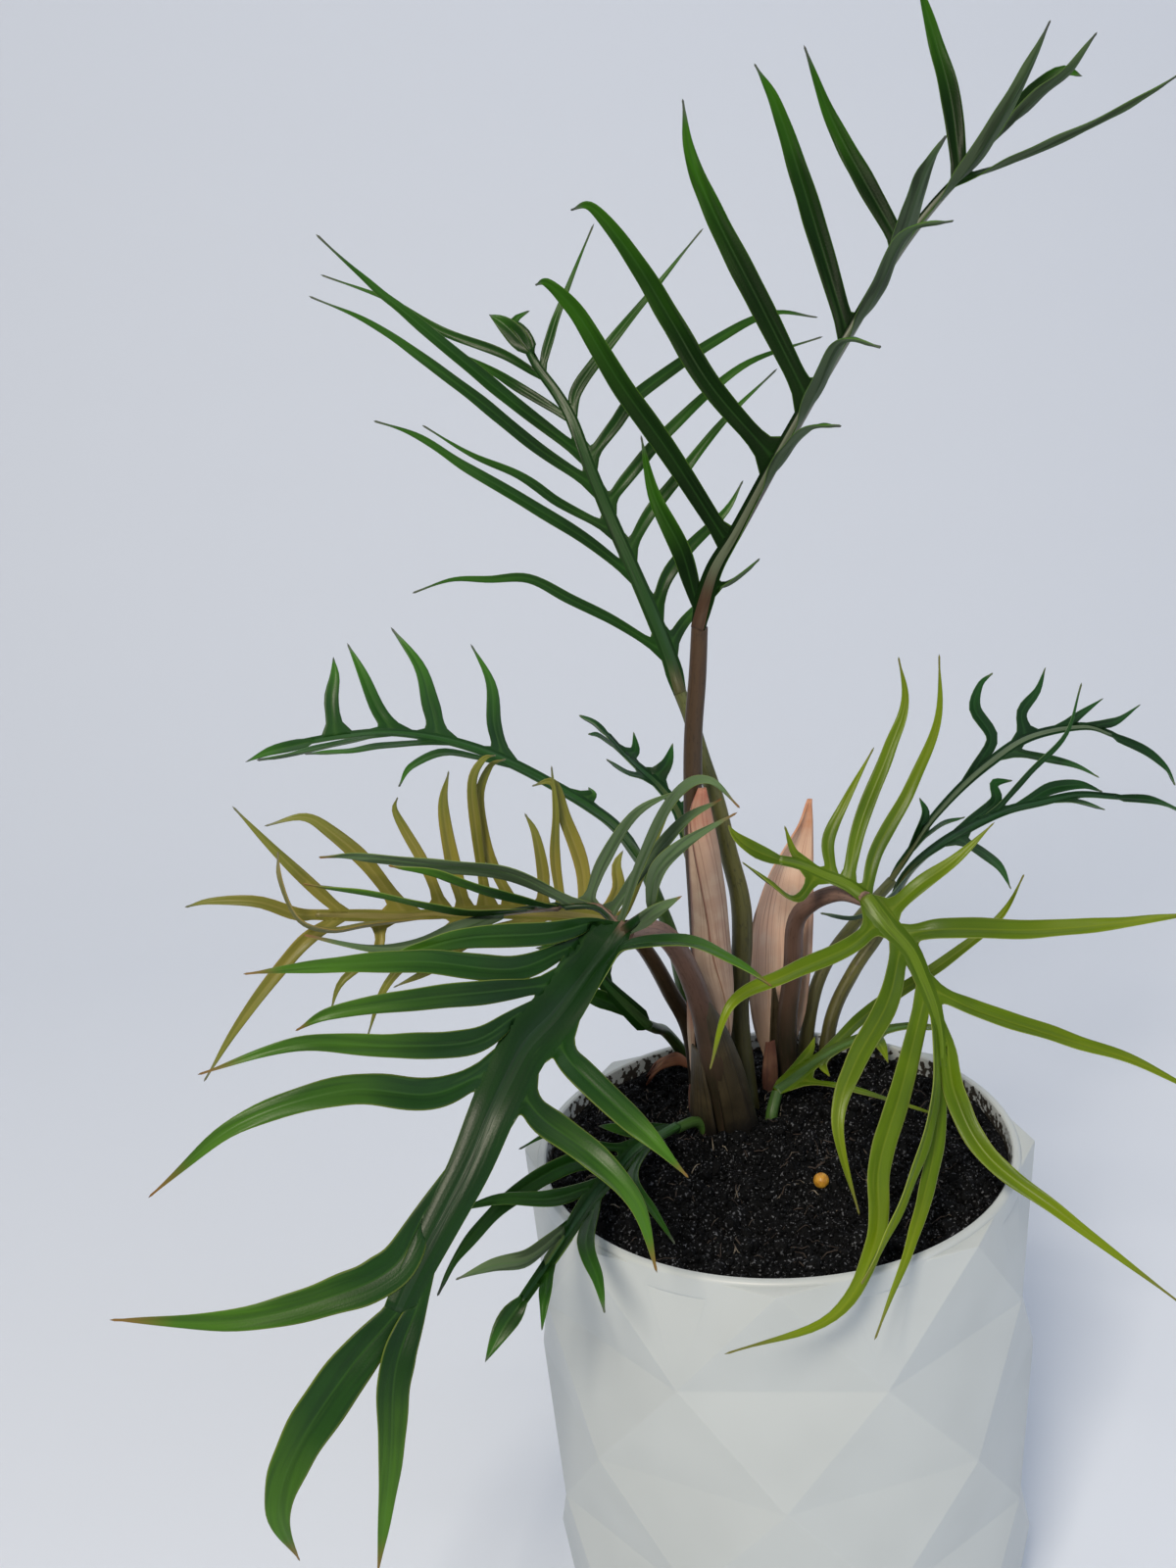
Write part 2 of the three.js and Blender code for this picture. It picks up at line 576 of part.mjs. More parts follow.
function solidOfGeometry(geometry) {
  const bare = geometry.clone();
  bare.deleteAttribute("normal");
  bare.deleteAttribute("uv");
  const merged = mergeVertices(bare, 1e-4);
  const attribute = merged.attributes.position;
  const positions = [...Array(attribute.count).keys()].map((i) =>
    new THREE.Vector3().fromBufferAttribute(attribute, i),
  );
  const index = [...merged.index.array];
  const faces = [];
  for (let i = 0; i < index.length; i += 3) faces.push(index.slice(i, i + 3));
  return solidOf(positions, faces.filter(([a, b, c]) => a !== b && b !== c && a !== c));
}

function geometryOf(solid) {
  const mesh = solid.getMesh();
  const geometry = new THREE.BufferGeometry();
  geometry.setAttribute("position", new THREE.BufferAttribute(new Float32Array(mesh.vertProperties), 3));
  geometry.setIndex(new THREE.BufferAttribute(new Uint32Array(mesh.triVerts), 1));
  return geometry;
}

// Whether some edge of the solid is shared by more than two faces, once equal points are merged.
function isPinched(solid) {
  const { index } = mergeVertices(geometryOf(solid), 1e-3);
  const seen = new Map();
  for (let i = 0; i < index.count; i += 3) {
    const corners = [index.getX(i), index.getX(i + 1), index.getX(i + 2)];
    corners.forEach((corner, j) => {
      const key = [corner, corners[(j + 1) % 3]].sort().join();
      seen.set(key, (seen.get(key) ?? 0) + 1);
    });
  }
  return [...seen.values()].some((count) => count > 2);
}

// Rounds a joined solid's vertices to a fine grid and merges those that fall together, so that no sliver
// is left. Where the rounding pinches the surface to itself, the next grid is tried.
function withoutSlivers(solid) {
  const rounded = VERTEX_GRIDS.map((grid) => {
    const geometry = geometryOf(solid.simplify(SMALLEST_DETAIL));
    const { array } = geometry.attributes.position;
    array.forEach((value, i) => (array[i] = Math.round(value / grid) * grid));
    return solidOfGeometry(geometry).simplify(SMALLEST_DETAIL);
  });
  return rounded.find((candidate) => !isPinched(candidate));
}

// Joins rings of equally many points into a closed solid. Opposite quads get the same diagonal, so the two
// faces of a thin blade don't cross. The last ring may be a single point.
function loft(rings) {
  const positions = rings.flat();
  const starts = rings.map((_, i) => rings.slice(0, i).reduce((sum, ring) => sum + ring.length, 0));
  const count = rings[0].length;
  const faces = [];
  for (let j = 2; j < count; j += 1) faces.push([0, j, j - 1]);
  for (let i = 0; i + 1 < rings.length; i += 1) {
    const [low, high] = [starts[i], starts[i + 1]];
    for (let j = 0; j < count; j += 1) {
      const k = (j + 1) % count;
      if (rings[i + 1].length === 1) {
        faces.push([low + j, low + k, high]);
      } else if (j % 2 === 0) {
        faces.push([low + j, low + k, high + k], [low + j, high + k, high + j]);
      } else {
        faces.push([low + j, low + k, high + j], [low + k, high + k, high + j]);
      }
    }
  }
  const last = starts.at(-1);
  if (rings.at(-1).length > 1) for (let j = 2; j < count; j += 1) faces.push([last, last + j - 1, last + j]);
  return solidOf(positions, faces);
}

// The petiole: a round stalk along a curve

// Its radius at a fraction of its length, with the swollen base where it has one.
function petioleRadius(leaf, t) {
  const [low, high] = leaf.radii;
  if (!leaf.swelling) return mix(low, high, t);
  const { until, radius } = leaf.swelling;
  if (t > until) return mix(radius, high, (t - until) / (1 - until));
  return mix(low, radius, THREE.MathUtils.smoothstep(t, until * 0.4, until));
}

// The stalk's solid, swollen by "extra" on all sides where it is used to cut its room in a neighbour.
function petioleSolid(leaf, extra) {
  const rachis = curveThrough(leaf.divisions[0].rachis.map(place));
  const start = rachis.getPoint(0);
  const heading = rachis.getTangent(0);
  const end = start.clone().addScaledVector(heading, 0.5 * extra - CLEARANCE);
  const curve = curveThrough([...leaf.petiole.map(place), end]);
  const steps = Math.max(3, Math.round(curve.getLength() / TUBE.step));
  const rings = [];
  for (let i = 0; i <= steps; i += 1) {
    const t = i / steps;
    const tangent = i === steps ? heading : curve.getTangent(t);
    const side = squareTo(new THREE.Vector3(1, 0, 0), tangent);
    const front = tangent.clone().cross(side);
    const centre = curve.getPoint(t);
    if (i === 0) centre.z -= extra;
    const radius = petioleRadius(leaf, t) + extra;
    rings.push(
      [...Array(TUBE.sides).keys()].map((j) => {
        const angle = (2 * Math.PI * j) / TUBE.sides;
        return centre
          .clone()
          .addScaledVector(side, radius * Math.cos(angle))
          .addScaledVector(front, radius * Math.sin(angle));
      }),
    );
  }
  return loft(rings);
}

// The blade: a winged rachis with long narrow lobes on both sides

class Division {
  constructor(leaf, { rachis, radii, wings = [0, 0], lobes, round = false }) {
    this.curve = curveThrough(rachis.map(place));
    this.length = this.curve.getLength();
    this.radii = radii;
    this.wings = wings;
    this.round = round;
    this.up = direction(leaf.up);
    this.tip = lobes.find((lobe) => lobe.side === "tip");
    this.sides = { left: [], right: [] };
    for (const side of ["left", "right"]) {
      const row = lobes.filter((lobe) => lobe.side === side).sort((a, b) => a.at - b.at);
      this.sides[side] = row.map((lobe) => {
        const first = place(lobe.points[0]).sub(this.curve.getPoint(lobe.at));
        return { ...lobe, outward: squareTo(first, this.curve.getTangent(lobe.at)) };
      });
      this.spreadRoots(this.sides[side]);
    }
  }

  // Each lobe's root runs along the rachis from "from" to "to", and neighbours share the space.
  spreadRoots(row) {
    row.forEach((lobe, i) => {
      const half = (0.5 * lobe.width + 2.2 + 0.35 * this.wingAt(lobe.at)) / this.length;
      const share = 0.5 * (1 - LOBE.rootGap);
      const before = i > 0 ? mix(lobe.at, row[i - 1].at, share) : 0.01;
      const after = i + 1 < row.length ? mix(lobe.at, row[i + 1].at, share) : 0.99;
      lobe.from = Math.max(lobe.at - half, before);
      lobe.to = Math.min(lobe.at + half, after);
    });
  }

  radiusAt(t) {
    return mix(this.radii[0], this.radii[1], t);
  }

  // How far the wing's edge lies from the rachis's middle: it starts flush at the petiole.
  wingAt(t) {
    return this.radiusAt(t) + mix(this.wings[0], this.wings[1], t) * Math.min(1, t / 0.06);
  }

  // The direction in which the blade leaves the rachis on one side.
  outward(side, t) {
    const row = this.sides[side];
    const tangent = this.curve.getTangent(t);
    if (!row.length) return this.outward(side === "left" ? "right" : "left", t).negate();
    const next = row.findIndex((lobe) => lobe.at >= t);
    if (next === 0) return squareTo(row[0].outward, tangent);
    if (next < 0) return squareTo(row.at(-1).outward, tangent);
    const [a, b] = [row[next - 1], row[next]];
    return squareTo(a.outward.clone().lerp(b.outward, (t - a.at) / (b.at - a.at)), tangent);
  }

  // The direction that the upper face looks to on one side.
  upward(side, t) {
    const normal = this.curve.getTangent(t).cross(this.outward(side, t)).normalize();
    return normal.dot(this.up) > 0 ? normal : normal.negate();
  }

  middleUp(t) {
    return squareTo(this.upward("left", t).add(this.upward("right", t)), this.curve.getTangent(t));
  }

  fromRachis(side, t, share) {
    return this.curve.getPoint(t).addScaledVector(this.outward(side, t), share * this.wingAt(t));
  }

  rachisSolid() {
    const steps = Math.max(3, Math.round(this.length / 7));
    const stops = this.round ? [0] : [0, 0.5 / steps];
    for (let i = 1; i <= steps; i += 1) stops.push(i / steps);
    return loft(
      stops.map((t) => {
        const centre = this.curve.getPoint(t);
        const up = this.middleUp(t).multiplyScalar(this.radiusAt(t));
        if (this.round) {
          const across = this.curve.getTangent(t).cross(up);
          return [0, 1, 2, 3, 4, 5].map((j) => {
            const angle = (Math.PI * j) / 3;
            const point = centre.clone().addScaledVector(up, Math.cos(angle));
            return point.addScaledVector(across, Math.sin(angle));
          });
        }
        return [
          this.fromRachis("left", t, 1),
          centre.clone().add(up),
          this.fromRachis("right", t, 1),
          centre.clone().sub(up),
        ];
      }),
    );
  }

  // A lobe: a long blade with a diamond section, rooted inside the rachis and wing.
  lobeSolid(lobe) {
    const isTip = lobe.side === "tip";
    const [rearSide, frontSide] = isTip ? ["left", "right"] : [lobe.side, lobe.side];
    const [at, from, to] = isTip ? [1, 1, 1] : [lobe.at, lobe.from, lobe.to];
    const normal = isTip ? this.middleUp(1) : this.upward(lobe.side, at);
    const root = isTip ? this.curve.getPoint(1) : this.fromRachis(lobe.side, at, 1);
    const rear = this.fromRachis(rearSide, from, LOBE.rootReach).sub(root);
    const front = this.fromRachis(frontSide, to, LOBE.rootReach).sub(root);
    const path = curveThrough([root, ...lobe.points.map(place)]);
    const length = path.getLength();
    const flare = Math.min(0.5, (1.5 + 0.5 * (rear.length() + front.length())) / length);
    const half = LOBE.halfThickness;

    // a ring's points: rear edge, upper face, front edge, lower face
    const ring = (rearEdge, centre, frontEdge, up, lift) => [
      rearEdge,
      centre.clone().addScaledVector(up, lift),
      frontEdge,
      centre.clone().addScaledVector(up, -lift),
    ];
    const rings = [];
    if (isTip) {
      const sunk = root.clone().addScaledVector(this.curve.getTangent(1), -0.8);
      const edges = [rear, front].map((edge) => sunk.clone().addScaledVector(edge, 0.6));
      rings.push(ring(edges[0], sunk, edges[1], normal, 0.7 * half));
    } else {
      const sunk = (t) => this.fromRachis(lobe.side, mix(at, t, LOBE.sunkSpread), LOBE.sunkReach);
      rings.push(ring(sunk(from), sunk(at), sunk(to), normal, 0.7 * half));
      rings.push(ring(root.clone().add(rear), root, root.clone().add(front), normal, half));
    }
    const shares = length > LOBE.shortLength ? [0, 0.3, 0.6, 0.85] : [0, 0.55];
    for (const share of shares) {
      const s = mix(flare, 1, share);
      const tangent = path.getTangent(s);
      const centre = path.getPoint(s);
      const up = squareTo(normal, tangent);
      const across = tangent.clone().cross(up).normalize();
      if (across.dot(front.clone().sub(rear)) < 0) across.negate();
      const halfWidth = 0.5 * lobe.width * lobeOutline(s);
      const edges = [-halfWidth, halfWidth].map((offset) => centre.clone().addScaledVector(across, offset));
      rings.push(ring(edges[0], centre, edges[1], up, Math.min(half, 0.8 * halfWidth)));
    }
    rings.push([path.getPoint(1)]);
    return loft(rings);
  }
}

// A lobe's width along its length, as a share: it widens a little, keeps nearly parallel sides, and
// narrows to a point.
function lobeOutline(s) {
  const [rootShare, widest, narrowsFrom] = [0.74, 0.35, 0.28];
  const rise = mix(rootShare, 1, Math.sin((clamp(s / widest, 0, 1) * Math.PI) / 2));
  return rise * (1 - clamp((s - narrowsFrom) / (1 - narrowsFrom), 0, 1) ** 1.7);
}

function bladeSolid(leaf) {
  const pieces = leaf.divisions.flatMap((part) => {
    const division = new Division(leaf, part);
    const lobes = [...division.sides.left, ...division.sides.right, division.tip];
    return [division.rachisSolid(), ...lobes.map((lobe) => division.lobeSolid(lobe))];
  });
  const joined = pieces.reduce((sum, piece) => sum.add(piece)).subtract(petioleSolid(leaf, CLEARANCE));
  return largestBody(withoutSlivers(joined));
}

function largestBody(solid) {
  return solid.decompose().reduce((best, body) => (body.volume() > best.volume() ? body : best));
}

// Sheets: a grid of points given a thickness, closed all round

function sheetSolid(grid, thickness) {
  const [rows, columns] = [grid.length, grid[0].length];
  const positions = [];
  for (const sign of [1, -1]) {
    grid.forEach((row, i) =>
      row.forEach((point, j) => {
        const along = grid[Math.min(i + 1, rows - 1)][j].clone().sub(grid[Math.max(i - 1, 0)][j]);
        const across = row[Math.min(j + 1, columns - 1)].clone().sub(row[Math.max(j - 1, 0)]);
        const normal = along.cross(across).normalize();
        positions.push(point.clone().addScaledVector(normal, (sign * thickness) / 2));
      }),
    );
  }
  const face = (side, i, j) => side * rows * columns + i * columns + j;
  const faces = [];
  const quad = (a, b, c, d) => faces.push([a, b, c], [a, c, d]);
  for (let i = 0; i + 1 < rows; i += 1) {
    for (let j = 0; j + 1 < columns; j += 1) {
      quad(face(0, i, j), face(0, i, j + 1), face(0, i + 1, j + 1), face(0, i + 1, j));
      faces.push([face(1, i, j), face(1, i + 1, j + 1), face(1, i, j + 1)]);
      faces.push([face(1, i, j), face(1, i + 1, j), face(1, i + 1, j + 1)]);
    }
    quad(face(0, i, 0), face(0, i + 1, 0), face(1, i + 1, 0), face(1, i, 0));
    const last = columns - 1;
    quad(face(0, i + 1, last), face(0, i, last), face(1, i, last), face(1, i + 1, last));
  }
  for (let j = 0; j + 1 < columns; j += 1) {
    const end = rows - 1;
    quad(face(0, 0, j + 1), face(0, 0, j), face(1, 0, j), face(1, 0, j + 1));
    quad(face(0, end, j), face(0, end, j + 1), face(1, end, j + 1), face(1, end, j));
  }
  return solidOf(positions, faces);
}

function sheathSolid({ rows }, extra) {
  const columns = 6;
  const grid = rows.map(([z, leftEdge, rightEdge, bulge]) => {
    const a = new THREE.Vector2(...leftEdge);
    const b = new THREE.Vector2(...rightEdge);
    const out = new THREE.Vector2(a.y - b.y, b.x - a.x).normalize();
    const margin = (1.4 * extra) / a.distanceTo(b);
    return [...Array(columns + 1).keys()].map((j) => {
      const u = mix(-margin, 1 + margin, j / columns);
      const point = a.clone().lerp(b, u).addScaledVector(out, 4 * u * (1 - u) * bulge);
      return place([point.x, point.y, z]);
    });
  });
  if (extra > 0) grid.at(-1).forEach((point) => (point.z -= extra));
  return sheetSolid(grid, SHEATH_THICKNESS + 2 * extra);
}

function barkSolid() {
  const curve = curveThrough(BARK.back.map(place));
  const [steps, columns] = [6, 6];
  const grid = [...Array(steps + 1).keys()].map((i) => {
    const t = i / steps;
    const half = 0.5 * BARK.width * mix(BARK.endWidthShare, 1, Math.sin(Math.PI * t));
    return [...Array(columns + 1).keys()].map((j) => {
      const angle = mix(-BARK.curl, BARK.curl, j / columns);
      const point = curve.getPoint(t);
      point.y += half * Math.sin(angle);
      point.z -= BARK.curlDepth * half * (1 - Math.cos(angle));
      return point;
    });
  });
  return sheetSolid(grid, SHEATH_THICKNESS);
}

// Pot and soil

function cornerRing(radius, z, turn) {
  return [...Array(POT.corners).keys()].map((i) => {
    const angle = ((i + turn) * 2 * Math.PI) / POT.corners;
    return new THREE.Vector3(radius * Math.cos(angle), radius * Math.sin(angle), z);
  });
}

// Rows of corners, each turned by half a step against the next, joined by triangles.
function facetedBody() {
  const rows = POT.rowRadius.length;
  const topTurn = ((270 + POT.turn) * POT.corners) / 360;
  const positions = POT.rowRadius.flatMap((radius, row) =>
    cornerRing(radius, row * POT.rowStep, topTurn + (rows - 1 - row) / 2),
  );
  const faces = [];
  const n = POT.corners;
  const at = (row, i) => row * n + (i % n);
  const top = rows - 1;
  for (let i = 0; i < n; i += 1) {
    for (let row = 0; row < top; row += 1) {
      faces.push([at(row, i), at(row, i + 1), at(row + 1, i + 1)]);
      faces.push([at(row, i), at(row + 1, i + 1), at(row + 1, i)]);
    }
    if (i > 0 && i < n - 1) {
      faces.push([at(0, 0), at(0, i + 1), at(0, i)]);
      faces.push([at(top, 0), at(top, i), at(top, i + 1)]);
    }
  }
  return solidOf(positions, faces);
}

function latheSolid(profile, segments) {
  const points = profile.map(([radius, z]) => new THREE.Vector2(radius, z));
  return solidOfGeometry(new THREE.LatheGeometry(points, segments).rotateX(Math.PI / 2));
}

// The cavity's radius at a height.
function insideRadius(z) {
  return mix(POT.floorRadius, POT.mouthRadius, (z - POT.floor) / (POT.height - POT.floor));
}

function potSolid() {
  const rim = POT.lipRadius;
  const lip = latheSolid(
    [
      [0, POT.lipBottom], [rim - 1.2, POT.lipBottom], [rim, POT.lipBottom + 1.5], [rim, POT.height - 1],
      [rim - 0.4, POT.height - 0.3], [rim - 1.2, POT.height], [0, POT.height],
    ],
    64,
  );
  const above = POT.height + 1;
  const cavity = latheSolid(
    [[0, POT.floor], [POT.floorRadius, POT.floor], [insideRadius(above), above], [0, above]],
    64,
  );
  return facetedBody().add(lip).subtract(cavity).simplify(SMALLEST_DETAIL);
}

// The soil's surface: a low mound round the crown, with shallow hollows.
function soilHeight(x, y) {
  const { mound } = SOIL;
  const away = Math.hypot(x - mound.x, y - mound.y) / mound.spread;
  const waves = Math.sin(x * 0.21 + 0.7) * Math.cos(y * 0.17 - 0.4) + 0.5 * Math.sin(x * 0.37 - y * 0.29);
  return SOIL.height - SOIL.rimDip + mound.rise * Math.exp(-(away ** 2)) + SOIL.unevenness * waves;
}

function soilSolid() {
  const bottom = POT.floor + CLEARANCE;
  const top = SOIL.height;
  const outer = insideRadius(top - 1) - CLEARANCE - 0.2;
  const profile = [[0, bottom], [POT.floorRadius - CLEARANCE - 0.2, bottom]];
  for (let i = SOIL.rings; i >= 0; i -= 1) profile.push([(outer * i) / SOIL.rings, top]);
  const points = profile.map(([radius, z]) => new THREE.Vector2(radius, z));
  const geometry = new THREE.LatheGeometry(points, SOIL.segments).rotateX(Math.PI / 2);
  const position = geometry.attributes.position;
  for (let i = 0; i < position.count; i += 1) {
    if (position.getZ(i) > top - 1) position.setZ(i, soilHeight(position.getX(i), position.getY(i)));
  }
  const holes = [
    ...LEAVES.map((leaf) => petioleSolid(leaf, CLEARANCE)),
    ...SHEATHS.map((sheath) => sheathSolid(sheath, CLEARANCE)),
  ];
  return withoutSlivers(holes.reduce((rest, hole) => rest.subtract(hole), solidOfGeometry(geometry)));
}

// A round fertiliser grain on the soil.
function prillSolid() {
  const { x, y, radius } = PRILL;
  const around = [...Array(8).keys()].map((i) => (i * Math.PI) / 4);
  const heights = around.map((a) => soilHeight(x + radius * Math.cos(a), y + radius * Math.sin(a)));
  const ground = Math.max(...heights);
  const geometry = new THREE.IcosahedronGeometry(radius, 1).translate(x, y, ground + radius + 0.1);
  return solidOfGeometry(geometry);
}

// The scene graph

const root = new THREE.Group();
root.name = "potted_philodendron_tortum";

function addPiece(name, solid, colour, roughness, parent = root) {
  const material = new THREE.MeshStandardMaterial({ color: COLOURS[colour], roughness, metalness: 0 });
  const mesh = new THREE.Mesh(geometryOf(solid), material);
  mesh.name = name;
  parent.add(mesh);
}

addPiece("pot", potSolid(), "pot", 0.35);
addPiece("soil", soilSolid(), "soil", 0.95);

const plant = new THREE.Group();
root.add(plant);
for (const leaf of LEAVES) {
  addPiece(leaf.name + "_petiole", petioleSolid(leaf, 0), leaf.stalk, 0.5, plant);
  addPiece(leaf.name + "_blade", bladeSolid(leaf), leaf.colour, 0.45, plant);
}
for (const sheath of SHEATHS) addPiece(sheath.name, sheathSolid(sheath, 0), sheath.colour, 0.7, plant);

addPiece("bark_scrap", barkSolid(), "drySheath", 0.85);
addPiece("fertiliser_prill", prillSolid(), "prill", 0.5);

export default root;
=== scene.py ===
# Looks of a potted Philodendron tortum: twelve comb-like leaves in a white faceted pot of black soil.
# Blender 4.5. Points and sizes are in millimetres and turn to metres once, when a mesh is made.
# x runs to the viewer's right, y to the back, z up from the pot's foot.
import math

import bmesh
import bpy
import numpy as np
from mathutils import Matrix, Vector, noise


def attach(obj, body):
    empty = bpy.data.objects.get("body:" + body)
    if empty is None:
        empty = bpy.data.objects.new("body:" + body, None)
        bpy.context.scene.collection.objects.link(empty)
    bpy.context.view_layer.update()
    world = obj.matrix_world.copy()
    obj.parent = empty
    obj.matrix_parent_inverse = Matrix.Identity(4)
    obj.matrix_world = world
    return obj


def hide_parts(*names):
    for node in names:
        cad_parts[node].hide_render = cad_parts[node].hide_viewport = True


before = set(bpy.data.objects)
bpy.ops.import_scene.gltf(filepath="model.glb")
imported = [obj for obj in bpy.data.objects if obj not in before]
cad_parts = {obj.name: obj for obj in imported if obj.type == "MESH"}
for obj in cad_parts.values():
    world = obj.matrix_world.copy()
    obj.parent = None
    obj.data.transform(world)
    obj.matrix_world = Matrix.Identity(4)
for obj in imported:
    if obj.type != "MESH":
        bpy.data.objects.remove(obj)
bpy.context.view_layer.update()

mm = 0.001
plantLevel = 22  # the plant's points count their heights from here

# Colours and nodes


def linear(hexColour):
    channels = [int(hexColour[i:i + 2], 16) / 255 for i in (1, 3, 5)]
    return tuple(c / 12.92 if c <= 0.04045 else ((c + 0.055) / 1.055) ** 2.4 for c in channels) + (1.0,)


# Adds a node. Its inputs are values or sockets to link, and the rest are the node's own settings.
def addNode(tree, kind, inputs=None, **settings):
    node = tree.nodes.new(kind)
    for name, value in settings.items():
        setattr(node, name, value)
    for key, value in (inputs or {}).items():
        if isinstance(value, bpy.types.NodeSocket):
            tree.links.new(value, node.inputs[key])
        else:
            node.inputs[key].default_value = value
    return node


# A new material with its shader and what its colours can follow: the marks stored on the piece, the place
# on the object, and noises. A noise is given by its space, its grain in millimetres along each axis, and
# its detail. The "lay" space runs across (x, y) and along (z) a leaf, stalk or sheath.
def newSurface(name, grains=None, **constants):
    material = bpy.data.materials.new(name)
    material.use_nodes = True
    tree = material.node_tree
    tree.nodes.clear()
    fixed = {key.replace("_", " "): value for key, value in constants.items()}
    shader = addNode(tree, "ShaderNodeBsdfPrincipled", fixed)
    addNode(tree, "ShaderNodeOutputMaterial", {"Surface": shader.outputs["BSDF"]})
    marks = addNode(tree, "ShaderNodeAttribute", attribute_name="marks").outputs
    parts = addNode(tree, "ShaderNodeSeparateColor", {0: marks["Color"]}).outputs
    metres = addNode(tree, "ShaderNodeTexCoord").outputs["Object"]
    place = addNode(tree, "ShaderNodeVectorMath", {0: metres, "Scale": 1 / mm}, operation="SCALE")
    lay = addNode(tree, "ShaderNodeAttribute", attribute_name="lay")
    given = dict(
        first=parts[0], second=parts[1], third=parts[2], fourth=marks["Alpha"],
        place=place.outputs[0], lay=lay.outputs["Vector"],
    )
    for key, (space, size, detail) in (grains or {}).items():
        scaled = addNode(tree, "ShaderNodeMapping", {"Vector": given[space], "Scale": [1 / s for s in size]})
        grain = addNode(tree, "ShaderNodeTexNoise", {
            "Vector": scaled.outputs[0], "Scale": 1.0, "Detail": detail,
        })
        given[key] = grain.outputs["Fac"]
    return material, tree, shader, given


# Lays colours over a base, one after another. Each layer is its colour, the value that shows it, the
# values between which it comes in, and its greatest share.
def paint(tree, shader, base, layers):
    colour = linear(base)
    for shade, source, low, high, most in layers:
        share = addNode(tree, "ShaderNodeMapRange", {
            "Value": source, "From Min": low, "From Max": high, "To Max": most,
        }, interpolation_type="SMOOTHSTEP").outputs["Result"]
        mixed = addNode(tree, "ShaderNodeMix", {0: share, 6: colour, 7: linear(shade)}, data_type="RGBA")
        colour = mixed.outputs[2]
    tree.links.new(colour, shader.inputs["Base Color"])


# Raises a surface by a height between 0 and 1 that stands for the given number of millimetres.
def raiseGrain(tree, shader, height, strength, depth):
    bump = addNode(tree, "ShaderNodeBump", {"Height": height, "Strength": strength, "Distance": depth * mm})
    tree.links.new(bump.outputs[0], shader.inputs["Normal"])


# Leaf skin: a waxy cuticle over green tissue. It shows soft highlights, a paler rib, a thin pale margin,
# darker tissue between the veins, younger yellower green towards the tips, and a duller, greyer underside.
# Marks: rib, margin, share of the way to the lobe's tip, the lobe's own tone.

leafSkins = dict(
    tallLeaf=dict(
        deep="#051404", mid="#0f2807", young="#30600f", rib="#35602a",
        edge="#5c8430", tip="#57525a", under="#5a6a50",
    ),
    leaf=dict(
        deep="#092006", mid="#1a400c", young="#305f14", rib="#42702c",
        edge="#6f8c40", tip="#5c5a58", under="#5f7050",
    ),
    frontLeaf=dict(
        deep="#0d2710", mid="#1b4012", young="#46721c", rib="#4c7830",
        edge="#8a9c44", tip="#8a5a38", under="#5f7256",
    ),
    softLeaf=dict(
        deep="#14321a", mid="#264e1a", young="#3c701e", rib="#52783a",
        edge="#587048", tip="#5a5060", under="#66805a",
    ),
    darkLeaf=dict(
        deep="#08200b", mid="#143c14", young="#20521c", rib="#3c6a36",
        edge="#7c9a6c", tip="#6c7058", under="#647868",
    ),
    freshLeaf=dict(
        deep="#324e08", mid="#56700a", young="#72860c", rib="#8c9838",
        edge="#aab460", tip="#6f6840", under="#7a8c48",
    ),
    bronzeLeaf=dict(
        deep="#4a541c", mid="#827a32", young="#747a34", rib="#a0935a",
        edge="#a88a48", tip="#5f6660", under="#7d7858",
    ),
)
leafFinish = dict(
    gloss=dict(tallLeaf=0.4),  # share of the usual gloss
    roughness=dict(upper=(0.31, 0.48), under=(0.48, 0.65)), specular=0.2, coat=dict(upper=0.04, under=0.0),
    coatRoughness=0.2, ribShare=0.2, edgeShare=0.65, underShare=0.75, pleatDepth=0.3,
    mottle=(16, 16, 16), pleats=(1.3, 1.3, 30), cells=(0.35, 0.35, 0.35),
)


def leafMaterial(skin, side):
    shades = leafSkins[skin]
    gloss = leafFinish["gloss"].get(skin, 1.0)
    grains = dict(
        mottle=("place", leafFinish["mottle"], 1.5), pleats=("lay", leafFinish["pleats"], 2.0),
        cells=("place", leafFinish["cells"], 1.0),
    )
    material, tree, shader, given = newSurface(
        f"{skin}_waxy_{side}", grains, IOR=1.45, Specular_IOR_Level=leafFinish["specular"] * gloss,
        Coat_Weight=leafFinish["coat"][side] * gloss, Coat_Roughness=leafFinish["coatRoughness"],
    )
    aged, height = [
        addNode(tree, "ShaderNodeMath", {0: given[a], 1: share, 2: given[b]}, operation="MULTIPLY_ADD")
        for a, share, b in (("mottle", 0.5, "third"), ("cells", 0.18, "pleats"))
    ]
    layers = [
        (shades["deep"], given["mottle"], 0.4, 0.66, 0.5),
        (shades["deep"], given["fourth"], 0.1, 0.6, 0.45),
        (shades["young"], aged.outputs[0], 0.5, 1.15, 0.9),
        (shades["deep"], given["pleats"], 0.42, 0.66, 0.35),
        (shades["rib"], given["pleats"], 0.6, 0.8, 0.2),
    ]
    if side == "under":
        layers += [
            (shades["under"], given["pleats"], -1.0, 0.0, leafFinish["underShare"]),
            (shades["deep"], given["pleats"], 0.48, 0.62, 0.5),
        ]
    layers += [
        (shades["tip"], given["third"], 0.86, 1.0, 0.8),
        (shades["rib"], given["first"], 0.0, 1.0, leafFinish["ribShare"]),
        (shades["edge"], given["second"], 0.0, 1.0, leafFinish["edgeShare"]),
    ]
    paint(tree, shader, shades["mid"], layers)
    smooth, rough = leafFinish["roughness"][side]
    spread = addNode(tree, "ShaderNodeMapRange", {"Value": given["cells"], "To Min": smooth, "To Max": rough})
    tree.links.new(spread.outputs["Result"], shader.inputs["Roughness"])
    raiseGrain(tree, shader, height.outputs[0], 0.5, leafFinish["pleatDepth"])
    return material


